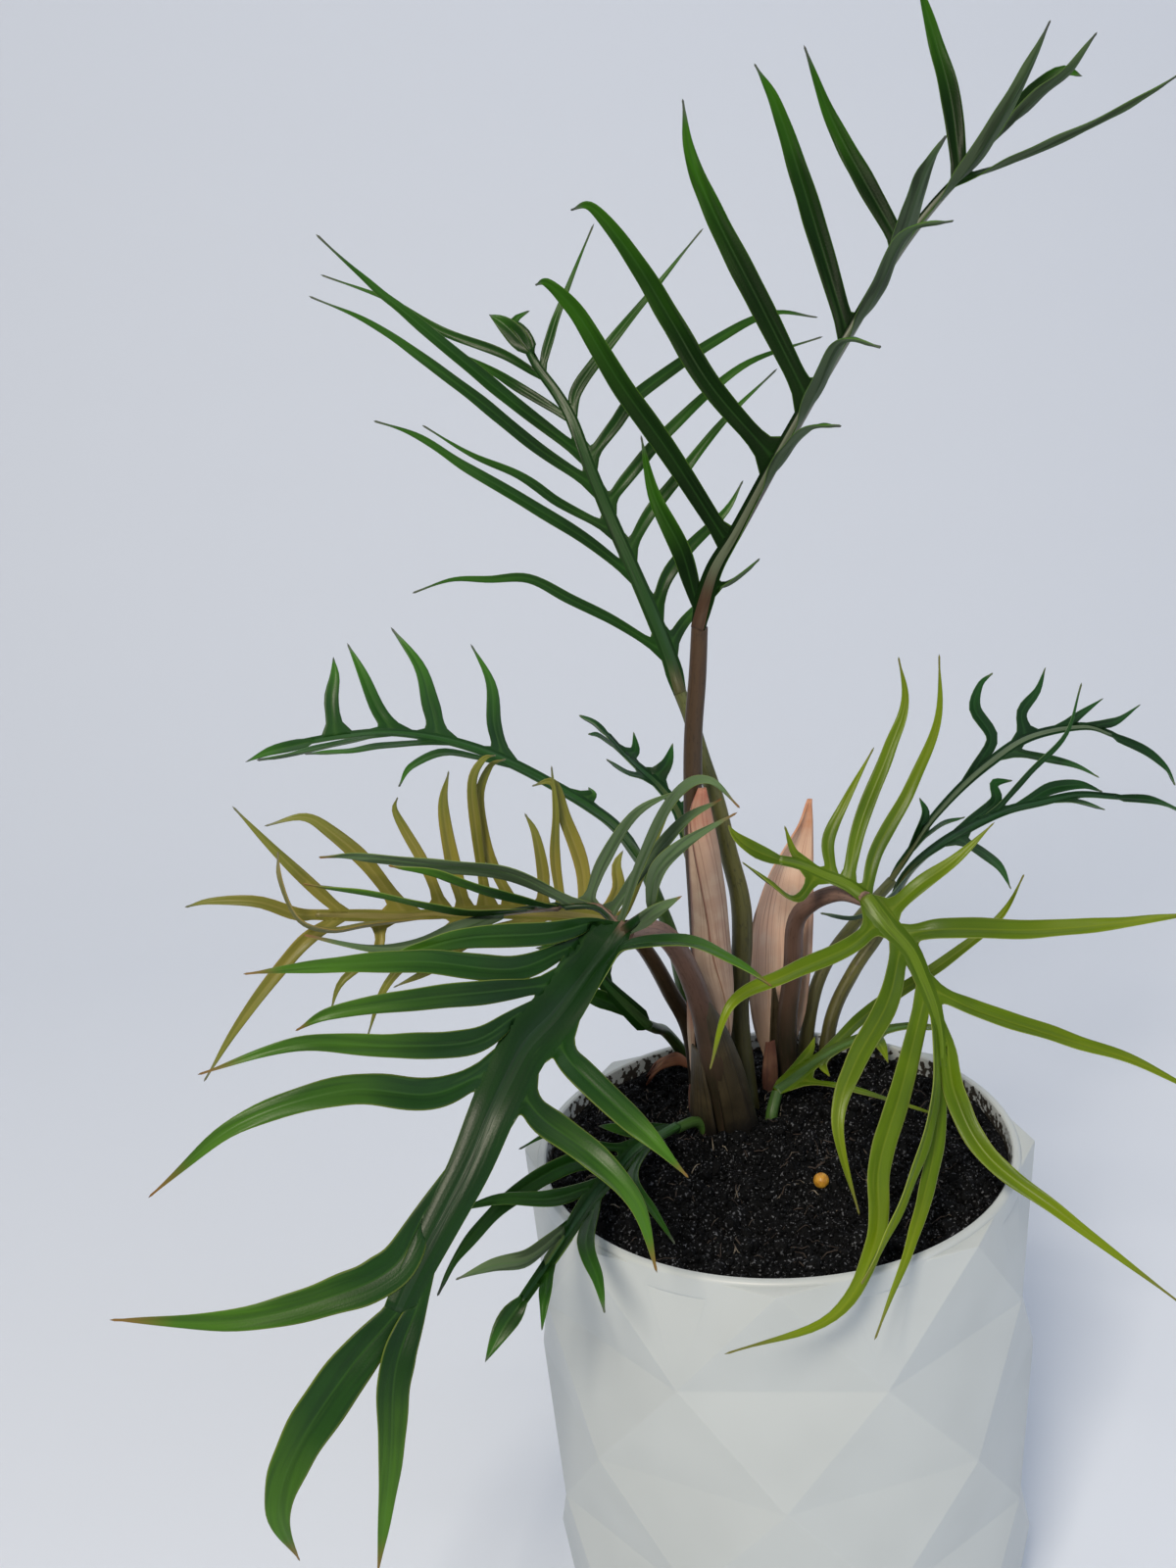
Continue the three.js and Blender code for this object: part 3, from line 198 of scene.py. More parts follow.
# Stalk skin: smooth, slightly waxy, with fine lengthwise ribs and purplish flecks. It changes colour
# from its base to its top. Marks: the third is the share of the way up.

stalkSkins = dict(  # base, middle, top, fleck
    brownStalk=("#2c2418", "#433422", "#493623", "#20180f"),
    oliveStalk=("#424020", "#605f30", "#5a5f34", "#26251a"),
    greenStalk=("#3f4f22", "#3f5f28", "#3c5c28", "#2c3820"),
    pinkStalk=("#2c281c", "#70564a", "#8f7468", "#42332b"),
)


def stalkMaterial(skin):
    base, middle, top, fleck = stalkSkins[skin]
    material, tree, shader, given = newSurface(f"{skin}_skin", dict(
        patches=("place", (12, 12, 12), 2.0), ribs=("lay", (0.55, 0.55, 16), 3.0),
        flecks=("lay", (0.5, 0.5, 2.2), 1.0),
    ), Roughness=0.42, Specular_IOR_Level=0.35)
    height = addNode(tree, "ShaderNodeMath", {
        0: given["patches"], 1: 0.3, 2: given["third"],
    }, operation="MULTIPLY_ADD").outputs[0]
    paint(tree, shader, base, [
        (middle, height, 0.25, 0.7, 1.0),
        (top, height, 0.7, 1.1, 1.0),
        (fleck, given["ribs"], 0.5, 0.7, 0.35),
        (fleck, given["flecks"], 0.6, 0.68, 0.4),
    ])
    raiseGrain(tree, shader, given["ribs"], 0.4, 0.3)
    return material


# Rachis skin: carries its stalk's colour on, then turns green from its upper face down. Marks: the
# second is the share of the underside and the fourth that of green.
def rachisMaterial(leaf):
    stalk, upper, lower = leaf["tones"]
    material, tree, shader, given = newSurface(leaf["name"] + "_rachis_skin", dict(
        ribs=("lay", (0.5, 0.5, 14), 3.0),
    ), Roughness=0.4, Specular_IOR_Level=0.35)
    green, under = given["fourth"], given["second"]
    onTop, below = [
        addNode(tree, "ShaderNodeMath", {0: green, 1: under}, operation=operation).outputs[0]
        for operation in ("SUBTRACT", "MULTIPLY")
    ]
    paint(tree, shader, stalk, [
        (upper, onTop, 0.0, 1.0, 1.0),
        (lower, below, 0.0, 1.0, 1.0),
        ("#16180f", given["ribs"], 0.48, 0.7, 0.3),
    ])
    raiseGrain(tree, shader, given["ribs"], 0.4, 0.3)
    return material


# Sheaths and bark: thin papery tissue with close parallel veins, dull, red-brown where it has dried.
# Each turns to its foot colour towards the bottom, which on the clasp sheath skin is near-black painted shade
# where the crown's shadow falls at the soil.
# Marks: the second is the margin and the third the share of the way up.

paperSkins = dict(  # body, pale, vein, dry, foot, roughness
    paleSheath=("#b59a84", "#c8b49c", "#7c5c4c", "#a4543a", "#b59a84", 0.6),
    # the boat sheath's colours are far lighter than the pale sheath's: painted light, making up for the shade
    # cast on it in the crown
    boatSheath=("#efccb4", "#f4dcc8", "#b88874", "#d08a60", "#c4a68c", 0.6),
    drySheath=("#543226", "#74543c", "#382319", "#562e20", "#4c3226", 0.8),
    # the clasp sheath's near-black foot is painted shade, not the tissue's own colour
    claspSheath=("#383120", "#4c432e", "#201b13", "#4a4230", "#090807", 0.5),
    bark=("#7e4e34", "#aa7c5a", "#2f1a12", "#5a2f20", "#7e4e34", 0.85),
)


def paperMaterial(skin):
    body, pale, vein, dry, foot, roughness = paperSkins[skin]
    material, tree, shader, given = newSurface(f"{skin}_papery", dict(
        patches=("place", (5, 5, 5), 3.0), veins=("lay", (0.45, 0.45, 30), 3.0),
    ), Roughness=roughness)
    drying = addNode(tree, "ShaderNodeMath", {
        0: given["patches"], 1: 0.5, 2: given["third"],
    }, operation="MULTIPLY_ADD").outputs[0]
    # the foot colour at the bottom, darker there: painted shade on the clasp sheath skin
    paint(tree, shader, foot, [
        (body, given["third"], 0.05, 0.45, 1.0),
        (pale, given["patches"], 0.4, 0.7, 0.7),
        (vein, given["veins"], 0.5, 0.68, 0.6),
        (dry, drying, 0.95, 1.3, 0.85),
        (dry, given["second"], 0.0, 1.0, 0.5),
        (foot, given["third"], 0.5, 0.1, 0.95),
    ])
    raiseGrain(tree, shader, given["veins"], 0.6, 0.3)
    return material


# Potting soil: damp black peat with grey grit, in which hardly anything shines.

soilShades = dict(black="#040506", brown="#101113", grey="#6a6d72", fibre="#3a3029", paleFibre="#8f8676")


def soilMaterial():
    material, tree, shader, given = newSurface("peat_soil", dict(
        fine=("place", (0.9, 0.9, 0.9), 4.0), coarse=("place", (6, 6, 6), 2.0),
        grit=("place", (0.7, 0.7, 0.7), 2.0),
    ), Roughness=0.75, Specular_IOR_Level=0.12)
    paint(tree, shader, soilShades["black"], [
        (soilShades["brown"], given["fine"], 0.45, 0.68, 1.0),
        (soilShades["grey"], given["grit"], 0.6, 0.68, 0.8),
        (soilShades["black"], given["coarse"], 0.48, 0.66, 0.6),
    ])
    raiseGrain(tree, shader, given["fine"], 0.8, 0.5)
    return material


# Fibres in the peat: dull brown threads, some bleached.
def fibreMaterial():
    material, tree, shader, given = newSurface("peat_fibre", dict(
        bleach=("place", (7, 7, 7), 2.0), dirt=("place", (1.2, 1.2, 1.2), 2.0),
    ), Roughness=0.85)
    paint(tree, shader, soilShades["fibre"], [
        (soilShades["paleFibre"], given["bleach"], 0.5, 0.72, 1.0),
        (soilShades["brown"], given["dirt"], 0.5, 0.7, 1.0),
    ])
    return material


# Pot: injection-moulded polypropylene in white, satin, with soil dust on the inside above the soil. The
# dust lies within a radius and between heights, over which it comes in, and thins out towards the lip.

potFinish = dict(
    white="#c2c9c9", shade="#bcc3c3", dust="#3a3630", dustRadius=(55.6, 55.1), dustFoot=(134, 136),
    dustTop=(136, 141.5), clearing=0.22,
)


def potMaterial():
    material, tree, shader, given = newSurface("moulded_white_plastic", dict(
        clouds=("place", (30, 30, 30), 2.0), specks=("place", (1.5, 1.5, 1.5), 4.0),
        sheen=("place", (0.5, 0.5, 0.5), 2.0),
    ), Roughness=0.4, IOR=1.49)
    flat = addNode(tree, "ShaderNodeVectorMath", {0: given["place"], 1: (1, 1, 0)}, operation="MULTIPLY")
    away = addNode(tree, "ShaderNodeVectorMath", {0: flat.outputs[0]}, operation="LENGTH")
    height = addNode(tree, "ShaderNodeSeparateXYZ", {0: given["place"]}).outputs[2]
    inwards, above, towardsLip = [
        addNode(tree, "ShaderNodeMapRange", {
            "Value": value, "From Min": potFinish[reach][0], "From Max": potFinish[reach][1],
        }).outputs["Result"]
        for value, reach in ((away.outputs["Value"], "dustRadius"), (height, "dustFoot"), (height, "dustTop"))
    ]
    thinned = addNode(tree, "ShaderNodeMath", {
        0: towardsLip, 1: -potFinish["clearing"], 2: given["specks"],
    }, operation="MULTIPLY_ADD")
    dusty = inwards
    for value in (above, thinned.outputs[0]):
        dusty = addNode(tree, "ShaderNodeMath", {0: dusty, 1: value}, operation="MULTIPLY").outputs[0]
    paint(tree, shader, potFinish["white"], [
        (potFinish["shade"], given["clouds"], 0.3, 0.7, 1.0),
        (potFinish["dust"], dusty, 0.36, 0.42, 1.0),
    ])
    raiseGrain(tree, shader, given["sheen"], 0.08, 0.1)
    return material


# Fertiliser: a resin-coated prill, smooth and yellow-brown.
def prillMaterial():
    material, tree, shader, given = newSurface("coated_fertiliser", dict(
        spots=("place", (1.4, 1.4, 1.4), 3.0),
    ), Roughness=0.4)
    paint(tree, shader, "#cf9c34", [("#b07a26", given["spots"], 0.35, 0.7, 1.0)])
    return material


# Curves and lofts


def unit(vector):
    return vector / max(np.linalg.norm(vector), 1e-9)


def squareTo(vector, axis):
    return unit(vector - np.dot(vector, axis) * axis)


def smoothShare(value, low, high):
    x = min(max((value - low) / (high - low), 0.0), 1.0)
    return x * x * (3 - 2 * x)


def mix(a, b, share):
    return a + (b - a) * share


def circle(radius, count, turn=0.0):
    angles = [2 * math.pi * (i + turn) / count for i in range(count)]
    return [(radius * math.cos(a), radius * math.sin(a)) for a in angles]


# A smooth curve through points of any number of coordinates.
class Path:
    def __init__(self, points):
        inner = np.array(points, float)
        self.points = np.vstack([2 * inner[0] - inner[1], inner, 2 * inner[-1] - inner[-2]])
        samples = np.array([self.at(i / 80) for i in range(81)])
        self.length = float(np.linalg.norm(np.diff(samples, axis=0), axis=1).sum())

    def at(self, t):
        spans = len(self.points) - 3
        place = min(max(t, 0.0), 1.0) * spans
        i = min(int(place), spans - 1)
        w = place - i
        before, a, b, after = self.points[i:i + 4]
        leave, arrive = 0.5 * (b - before), 0.5 * (after - a)
        square, cube = 3 * (b - a) - 2 * leave - arrive, 2 * (a - b) + leave + arrive
        return a + leave * w + square * w ** 2 + cube * w ** 3

    def heading(self, t):
        step = 1e-4
        return unit(self.at(min(t + step, 1.0)) - self.at(max(t - step, 0.0)))


def lifted(points):
    return [(x, y, z + plantLevel) for x, y, z in points]


# Collects rings into one mesh with its marks (rib, edge, along, tone), lay and material of each face.
class Shell:
    def __init__(self):
        self.points, self.marks, self.lay, self.faces, self.looks = [], [], [], [], []

    # Each ring lists (point, marks, lay). Faces between rings take the look of their column. The first
    # ring is closed across, and so is the last unless it is a single point.
    def loft(self, rings, columnLooks):
        starts = []
        for ring in rings:
            starts.append(len(self.points))
            for point, marks, lay in ring:
                self.points.append(point)
                self.marks.append(marks)
                self.lay.append(lay)
        faces, looks = [], []
        count = len(rings[0])
        for low, high, ring in zip(starts, starts[1:], rings[1:]):
            for j in range(count):
                k = (j + 1) % count
                ahead = (high,) if len(ring) == 1 else (high + k, high + j)
                faces.append((low + j, low + k, *ahead))
                looks.append(columnLooks[j])
        faces.append(tuple(range(starts[0] + count - 1, starts[0] - 1, -1)))
        looks.append(columnLooks[0])
        if len(rings[-1]) > 1:
            faces.append(tuple(range(starts[-1], starts[-1] + count)))
            looks.append(columnLooks[0])
        if self.volumeOf(faces) < 0:
            faces = [tuple(reversed(face)) for face in faces]
        self.faces += faces
        self.looks += looks

    def volumeOf(self, faces):
        middle = np.mean([self.points[i] for i in faces[0]], axis=0)
        total = 0.0
        for face in faces:
            a = self.points[face[0]] - middle
            for i in range(1, len(face) - 1):
                total += np.dot(a, np.cross(self.points[face[i]] - middle, self.points[face[i + 1]] - middle))
        return total


# Meshes, objects and trees


def newMesh(name, points, faces=(), edges=(), looks=(), smooth=True):
    mesh = bpy.data.meshes.new(name)
    mesh.from_pydata([Vector(p) * mm for p in points], edges, faces)
    mesh.polygons.foreach_set("use_smooth", [smooth] * len(mesh.polygons))
    for look in looks:
        mesh.materials.append(look)
    mesh.update()
    return mesh


def addObject(name, data):
    thing = bpy.data.objects.new(name, data)
    bpy.context.scene.collection.objects.link(thing)
    return thing


# Stores one value, vector or colour for each point of a mesh.
def store(mesh, name, kind, values):
    field = dict(FLOAT="value", FLOAT_VECTOR="vector", FLOAT_COLOR="color")[kind]
    mesh.attributes.new(name, kind, "POINT").data.foreach_set(field, np.array(values, np.float32).ravel())


def settle(piece, colour, *nodes):
    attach(piece, "root")
    if nodes:
        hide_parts(*nodes)


def makeMesh(name, shell, materials, colour, *nodes):
    mesh = newMesh(name, shell.points, shell.faces, looks=materials)
    mesh.polygons.foreach_set("material_index", shell.looks)
    store(mesh, "marks", "FLOAT_COLOR", shell.marks)
    store(mesh, "lay", "FLOAT_VECTOR", shell.lay)
    settle(addObject(name, mesh), colour, *nodes)


# A new tree of Geometry Nodes and its named inputs.
def newTree(name, **inputs):
    tree = bpy.data.node_groups.new(name, "GeometryNodeTree")
    for label, kind in dict(Geometry="Geometry", **inputs).items():
        tree.interface.new_socket(label, in_out="INPUT", socket_type="NodeSocket" + kind)
    tree.interface.new_socket("Geometry", in_out="OUTPUT", socket_type="NodeSocketGeometry")
    return tree, addNode(tree, "NodeGroupInput").outputs


# Ends a tree in Realize Instances and Set Material.
def finishTree(tree, geometry, material):
    real = addNode(tree, "GeometryNodeRealizeInstances", {"Geometry": geometry})
    painted = addNode(tree, "GeometryNodeSetMaterial", {"Geometry": real.outputs[0], "Material": material})
    addNode(tree, "NodeGroupOutput", {"Geometry": painted.outputs[0]})


# Runs a tree on an object and leaves the result as a plain mesh in its place.
def bake(host, tree, values):
    modifier = host.modifiers.new("nodes", "NODES")
    modifier.node_group = tree
    for item in tree.interface.items_tree:
        if item.in_out == "INPUT" and item.name in values:
            modifier[item.identifier] = values[item.name]
    host.update_tag()
    freeze(host)


def freeze(host):
    graph = bpy.context.evaluated_depsgraph_get()
    mesh = bpy.data.meshes.new_from_object(host.evaluated_get(graph))
    host.modifiers.clear()
    before, host.data = host.data, mesh
    bpy.data.meshes.remove(before)
    mesh.name = host.name


def applyModifier(piece, kind, **settings):
    modifier = piece.modifiers.new(kind.lower(), kind)
    for name, value in settings.items():
        setattr(modifier, name, value)
    freeze(piece)


# The leaves. A lobe is given by where it leaves the rachis (0 to 1), its greatest width and the points that
# its midrib passes through. Its side is seen from above, looking towards the leaf's tip.

leaves = []


# The tones are the rachis's: where it carries on the stalk, above and below. The first division carries on
# the petiole, and the others branch off at its end.
def addLeaf(name, colour, stalk, tones, **settings):
    usual = dict(name=name, colour=colour, stalk=stalk, tones=tones, skin=colour, habit={}, divisions=[])
    leaves.append(usual | settings)


def addDivision(**settings):
    leaves[-1]["divisions"].append(settings)


def left(at, width, *points):
    return dict(side="left", at=at, width=width, points=points)


def right(at, width, *points):
    return dict(side="right", at=at, width=width, points=points)


def tip(width, *points):
    return dict(side="tip", at=1.0, width=width, points=points)


addLeaf(
    "tall_leaf", "leaf", "brownStalk", ("#44301f", "#56604a", "#6f725e"), skin="tallLeaf",
    up=(-0.5, -0.8, 0.4), radii=(2.7, 1.9),
    habit=dict(flare=0.2, rightRoll=55, rightWiden=1.35, greenLower=(20, 75)),
    petiole=[
        (-14.5, 23.5, 107), (-15, 20, 137), (-14, 20, 164), (-14, 20, 189), (-13, 20, 213), (-11, 20, 230),
    ],
)
addDivision(radii=(1.5, 0.6), wings=(1.2, 0.5), rachis=[
    (-10, 20, 241), (-6, 20, 253), (0, 20, 262), (10, 21, 278), (20, 23, 293), (28, 26, 304), (38, 29, 318),
    (47, 31, 328), (57, 33, 337), (64, 34, 345),
], lobes=[
    left(0.06, 4.6, (-13, 22, 259), (-18, 26, 271), (-20, 30, 284)),
    left(0.20, 5.0, (-14, 25, 280), (-24, 29, 296), (-32, 32, 311), (-38, 33, 318), (-41, 33, 318)),
    left(0.33, 5.2, (-4, 26, 294), (-12, 31, 309), (-19, 34, 322), (-27, 36, 333), (-32, 36, 333)),
    left(0.42, 5.4, (8, 28, 310), (0, 33, 328), (-5, 36, 342), (-6, 38, 354)),
    left(0.55, 5.0, (22, 32, 322), (18, 36, 338), (14, 39, 352), (10, 40, 360)),
    left(0.69, 4.6, (32, 35, 335), (26, 39, 348), (21, 41, 363)),
    left(0.85, 4.4, (52, 38, 350), (49, 42, 364), (46, 44, 376)),
    right(0.09, 2.0, (-2, 14, 253), (3, 6, 259)),
    right(0.29, 2.6, (9, 6, 281), (12, -14, 289), (17, -22, 290)),
    right(0.38, 2.8, (16, 2, 295), (18, -20, 306), (24, -28, 305)),
    right(0.54, 2.8, (29, 4, 313), (31, -18, 325), (38, -28, 327)),
    right(0.65, 3.2, (36, 6, 326), (36, -12, 336), (38, -22, 342)),
    right(0.79, 3.0, (53, 14, 339), (57, -2, 351), (60, -12, 361)),
    right(0.84, 3.0, (66, 18, 338), (78, 4, 344), (87, -6, 350)),
    right(0.94, 2.8, (66, 22, 348), (70, 10, 353), (73, 2, 359)),
    tip(5.2, (70, 34, 350), (75, 33, 353), (79, 32, 352)),
])

addLeaf(
    "upper_left_leaf", "leaf", "oliveStalk", ("#4a4a2a", "#1c4210", "#6a6a48"), up=(0.1, -0.8, 0.6),
    radii=(2.9, 1.6), habit=dict(flare=0.9, wings=0.8, greenUpper=(0, 12)),
    petiole=[
        (-3.5, 22.5, 107), (-5, 28, 138), (-3, 29, 159), (-3, 30, 170), (-5, 32, 181), (-7, 34, 193),
        (-10, 37, 205), (-12, 39, 214),
    ],
)
addDivision(radii=(1.4, 0.6), wings=(1.0, 0.6), rachis=[
    (-14, 40, 220), (-16, 42, 229), (-20, 44, 241), (-24, 47, 252), (-28, 50, 263), (-32, 53, 275),
    (-35, 57, 285), (-38, 60, 291), (-42, 63, 297), (-44, 65, 301),
], lobes=[
    left(0.14, 2.6, (-29, 42, 239), (-39, 38, 246), (-48, 36, 252), (-57, 34, 253), (-66, 32, 254),
        (-75, 30, 252)),
    left(0.32, 3.2, (-35, 46, 259), (-49, 42, 270), (-61, 39, 279), (-71, 37, 287), (-80, 36, 291)),
    left(0.42, 2.4, (-40, 50, 267), (-48, 48, 274), (-59, 47, 280), (-70, 46, 288)),
    left(0.52, 3.2, (-44, 52, 280), (-56, 48, 292), (-68, 45, 303), (-79, 43, 312), (-92, 42, 319)),
    left(0.59, 3.6, (-47, 55, 289), (-59, 51, 301), (-71, 48, 313), (-79, 46, 321), (-89, 44, 332)),
    left(0.70, 2.6, (-47, 62, 293), (-54, 62, 298), (-62, 62, 303)),
    left(0.88, 2.4, (-51, 68, 301), (-65, 72, 307), (-77, 74, 315), (-93, 76, 322)),
    right(0.14, 3.2, (-11, 46, 237), (-2, 50, 244)),
    right(0.22, 3.4, (-15, 46, 248), (-9, 49, 254), (0, 52, 261), (5, 54, 268)),
    right(0.36, 3.2, (-18, 49, 263), (-10, 52, 271), (1, 56, 282), (15, 60, 293)),
    right(0.47, 3.2, (-22, 52, 272), (-12, 56, 281), (7, 62, 294), (27, 66, 299)),
    right(0.57, 3.4, (-25, 56, 283), (-18, 59, 290), (1, 66, 300), (15, 70, 305), (27, 73, 303)),
    right(0.70, 3.2, (-33, 60, 292), (-26, 63, 300), (-15, 67, 311), (0, 71, 326)),
    right(0.89, 2.4, (-39, 65, 303), (-35, 68, 312), (-26, 72, 329)),
    right(0.97, 3.4, (-45, 67, 305), (-47, 69, 308), (-43, 72, 310)),
    tip(5.0, (-47, 67, 305), (-50, 69, 308), (-53, 70, 310)),
])

addLeaf(
    "middle_left_leaf", "darkLeaf", "greenStalk", ("#3c5c28", "#24501c", "#6a8058"), skin="softLeaf",
    up=(0, -0.5, 0.85), radii=(2.1, 1.5),
    petiole=[(-14, 36, 107), (-15, 33, 130), (-18, 33, 145), (-20, 32, 159), (-23, 31, 170)],
)
addDivision(radii=(1.3, 0.5), wings=(1.0, 0.7), rachis=[
    (-26, 30, 180), (-32, 30, 190), (-39, 29, 197), (-48, 28, 204), (-56, 26, 210), (-64, 24, 215),
    (-73, 22, 219), (-83, 19, 222), (-93, 16, 223), (-100, 14, 223),
], lobes=[
    left(0.49, 2.6, (-70, 14, 218), (-77, 6, 218), (-80, 1, 215)),
    left(0.67, 2.8, (-83, 10, 222), (-91, 2, 224), (-99, -4, 226)),
    left(0.81, 2.6, (-94, 8, 224), (-102, 0, 225), (-109, -6, 226)),
    right(0.23, 2.6, (-37, 32, 199), (-38, 34, 200)),
    right(0.48, 3.8, (-59, 28, 220), (-59, 31, 229), (-63, 34, 238)),
    right(0.66, 4.4, (-73, 25, 226), (-75, 28, 235), (-81, 32, 244)),
    right(0.77, 3.8, (-85, 22, 227), (-88, 25, 235), (-91, 28, 242)),
    right(0.91, 3.4, (-95, 19, 231), (-94, 22, 236), (-94, 24, 240)),
    tip(3.4, (-104, 12, 223), (-109, 9, 223), (-114, 6, 222)),
])

addLeaf(
    "left_leaf", "leaf", "brownStalk", ("#6f5a3c", "#7a7238", "#7a5c44"), skin="bronzeLeaf",
    up=(0, -0.4, 0.9), radii=(2.5, 1.6), habit=dict(flare=1.6, greenUpper=(0, 10)),
    petiole=[(-15.5, 29.5, 107), (-17, 27, 134), (-22, 24, 149), (-27, 17, 163)],
)
addDivision(radii=(1.2, 0.5), wings=(1.0, 0.7), rachis=[
    (-32, 10, 173), (-38, 8, 176), (-46, 6, 179), (-54, 4, 181), (-63, 2, 183), (-72, 0, 184), (-81, -2, 185),
    (-90, -4, 187), (-96, -5, 188), (-101, -6, 189),
], lobes=[
    left(0.33, 3.4, (-67, -6, 180), (-76, -9, 175), (-85, -11, 172)),
    left(0.52, 2.6, (-79, -8, 179), (-87, -12, 172), (-92, -14, 161)),
    left(0.62, 3.0, (-89, -9, 187), (-97, -13, 188), (-103, -15, 192), (-106, -14, 201), (-106, -12, 207)),
    left(0.74, 2.4, (-88, -8, 180), (-96, -12, 175), (-99, -14, 169)),
    left(0.91, 3.4, (-105, -10, 183), (-118, -16, 170), (-128, -20, 157)),
    right(0.02, 3.0, (-27, 14, 186), (-23, 16, 193), (-19, 17, 200)),
    right(0.09, 3.6, (-33, 12, 182), (-33, 14, 187), (-31, 16, 190)),
    right(0.16, 3.8, (-41, 13, 188), (-44, 16, 199), (-46, 16, 208), (-51, 15, 208)),
    right(0.23, 2.6, (-47, 10, 191), (-46, 13, 202), (-46, 14, 213)),
    right(0.29, 3.0, (-50, 8, 189), (-51, 10, 198), (-53, 11, 203)),
    right(0.38, 2.8, (-62, 6, 196), (-63, 9, 208), (-60, 10, 215), (-56, 9, 217)),
    right(0.45, 2.6, (-64, 4, 202), (-64, 6, 213), (-61, 7, 218), (-58, 6, 219)),
    right(0.51, 3.6, (-70, 3, 195), (-71, 6, 208), (-69, 7, 216)),
    right(0.57, 2.6, (-76, 2, 195), (-80, 5, 203), (-82, 6, 208), (-81, 6, 211)),
    right(0.68, 3.6, (-89, 0, 198), (-96, 2, 205), (-102, 3, 209), (-111, 2, 208)),
    right(0.89, 3.0, (-101, -4, 195), (-109, -2, 204), (-117, 0, 214)),
    tip(3.0, (-105, -7, 190), (-113, -8, 194), (-123, -8, 195), (-129, -8, 194)),
])

addLeaf(
    "front_left_leaf", "leaf", "pinkStalk", ("#84685c", "#143412", "#7a6a5c"), skin="frontLeaf",
    up=(-0.2, -0.5, 0.85), radii=(4.1, 2.3),
    habit=dict(flare=1.7, wings=1.45, rootShare=0.52, leftWiden=0.94, greenUpper=(-2, 5), greenLower=(2, 30)),
    swelling=dict(until=0.36, radius=2.8),  # the base that clasps the crown
    petiole=[(-9, 17, 107), (-12, 12, 133), (-15, 9, 150), (-18, 4, 163), (-22, -2, 174), (-27, -8, 180)],
)
addDivision(radii=(1.7, 0.7), wings=(4.5, 1.5), rachis=[
    (-32, -14, 183), (-38, -20, 179), (-43, -26, 176), (-49, -32, 172), (-55, -38, 169), (-59, -44, 165),
    (-63, -50, 160), (-68, -56, 152), (-74, -62, 144), (-80, -68, 136), (-84, -72, 130),
], lobes=[
    left(0.04, 5.6, (-49, -24, 188), (-65, -30, 191), (-76, -34, 191), (-84, -36, 190)),
    left(0.15, 6.2, (-57, -32, 184), (-75, -38, 190), (-94, -43, 193), (-110, -46, 194)),
    left(0.27, 5.6, (-62, -38, 182), (-77, -43, 184), (-93, -46, 184), (-101, -47, 181)),
    left(0.37, 6.0, (-66, -44, 174), (-82, -49, 177), (-100, -53, 181), (-120, -55, 177)),
    left(0.53, 7.4, (-75, -52, 167), (-91, -57, 172), (-112, -62, 169), (-131, -65, 156)),
    left(0.80, 9.0, (-84, -68, 138), (-96, -72, 135), (-115, -76, 134), (-138, -80, 139)),
    right(0.14, 5.8, (-32, -27, 185), (-20, -32, 187), (-11, -36, 184), (-3, -38, 178)),
    right(0.36, 6.4, (-45, -46, 167), (-35, -54, 159), (-30, -58, 155), (-24, -62, 149)),
    right(0.54, 6.6, (-52, -54, 160), (-43, -62, 156), (-35, -68, 148), (-32, -73, 135)),
    right(0.95, 7.0, (-85, -77, 120), (-88, -81, 100), (-93, -84, 76)),
    tip(9.6, (-95, -77, 120), (-106, -81, 106), (-111, -83, 93), (-109, -80, 78)),
])
addDivision(radii=(1.4, 0.8), round=True, rachis=[
    (-33, -15, 183), (-38, -8, 186), (-46, -6, 186), (-53, -6, 186), (-59, -7, 186),
], lobes=[
    left(0.42, 4.6, (-57, -8, 196), (-73, -12, 201), (-88, -14, 205), (-97, -15, 206)),
    left(0.60, 4.6, (-61, -14, 194), (-73, -17, 201), (-82, -18, 204)),
    left(0.80, 4.6, (-68, -16, 191), (-84, -20, 198), (-100, -22, 203)),
    right(0.04, 3.2, (-28, -16, 199), (-20, -22, 216), (-13, -25, 220), (-7, -27, 214)),
    right(0.15, 4.0, (-26, -10, 197), (-18, -16, 208), (-10, -20, 214)),
    right(0.32, 3.0, (-36, -8, 197), (-28, -11, 209), (-17, -14, 215)),
    tip(4.6, (-68, -18, 188), (-83, -22, 186), (-101, -24, 192)),
])
addDivision(radii=(1.3, 0.8), round=True, rachis=[(-33, -15, 183), (-30, -19, 187), (-27, -21, 190)], lobes=[
    right(0.37, 3.6, (-26, -24, 191), (-20, -26, 195)),
    tip(3.8, (-25, -26, 201), (-19, -29, 208), (-8, -32, 215)),
])

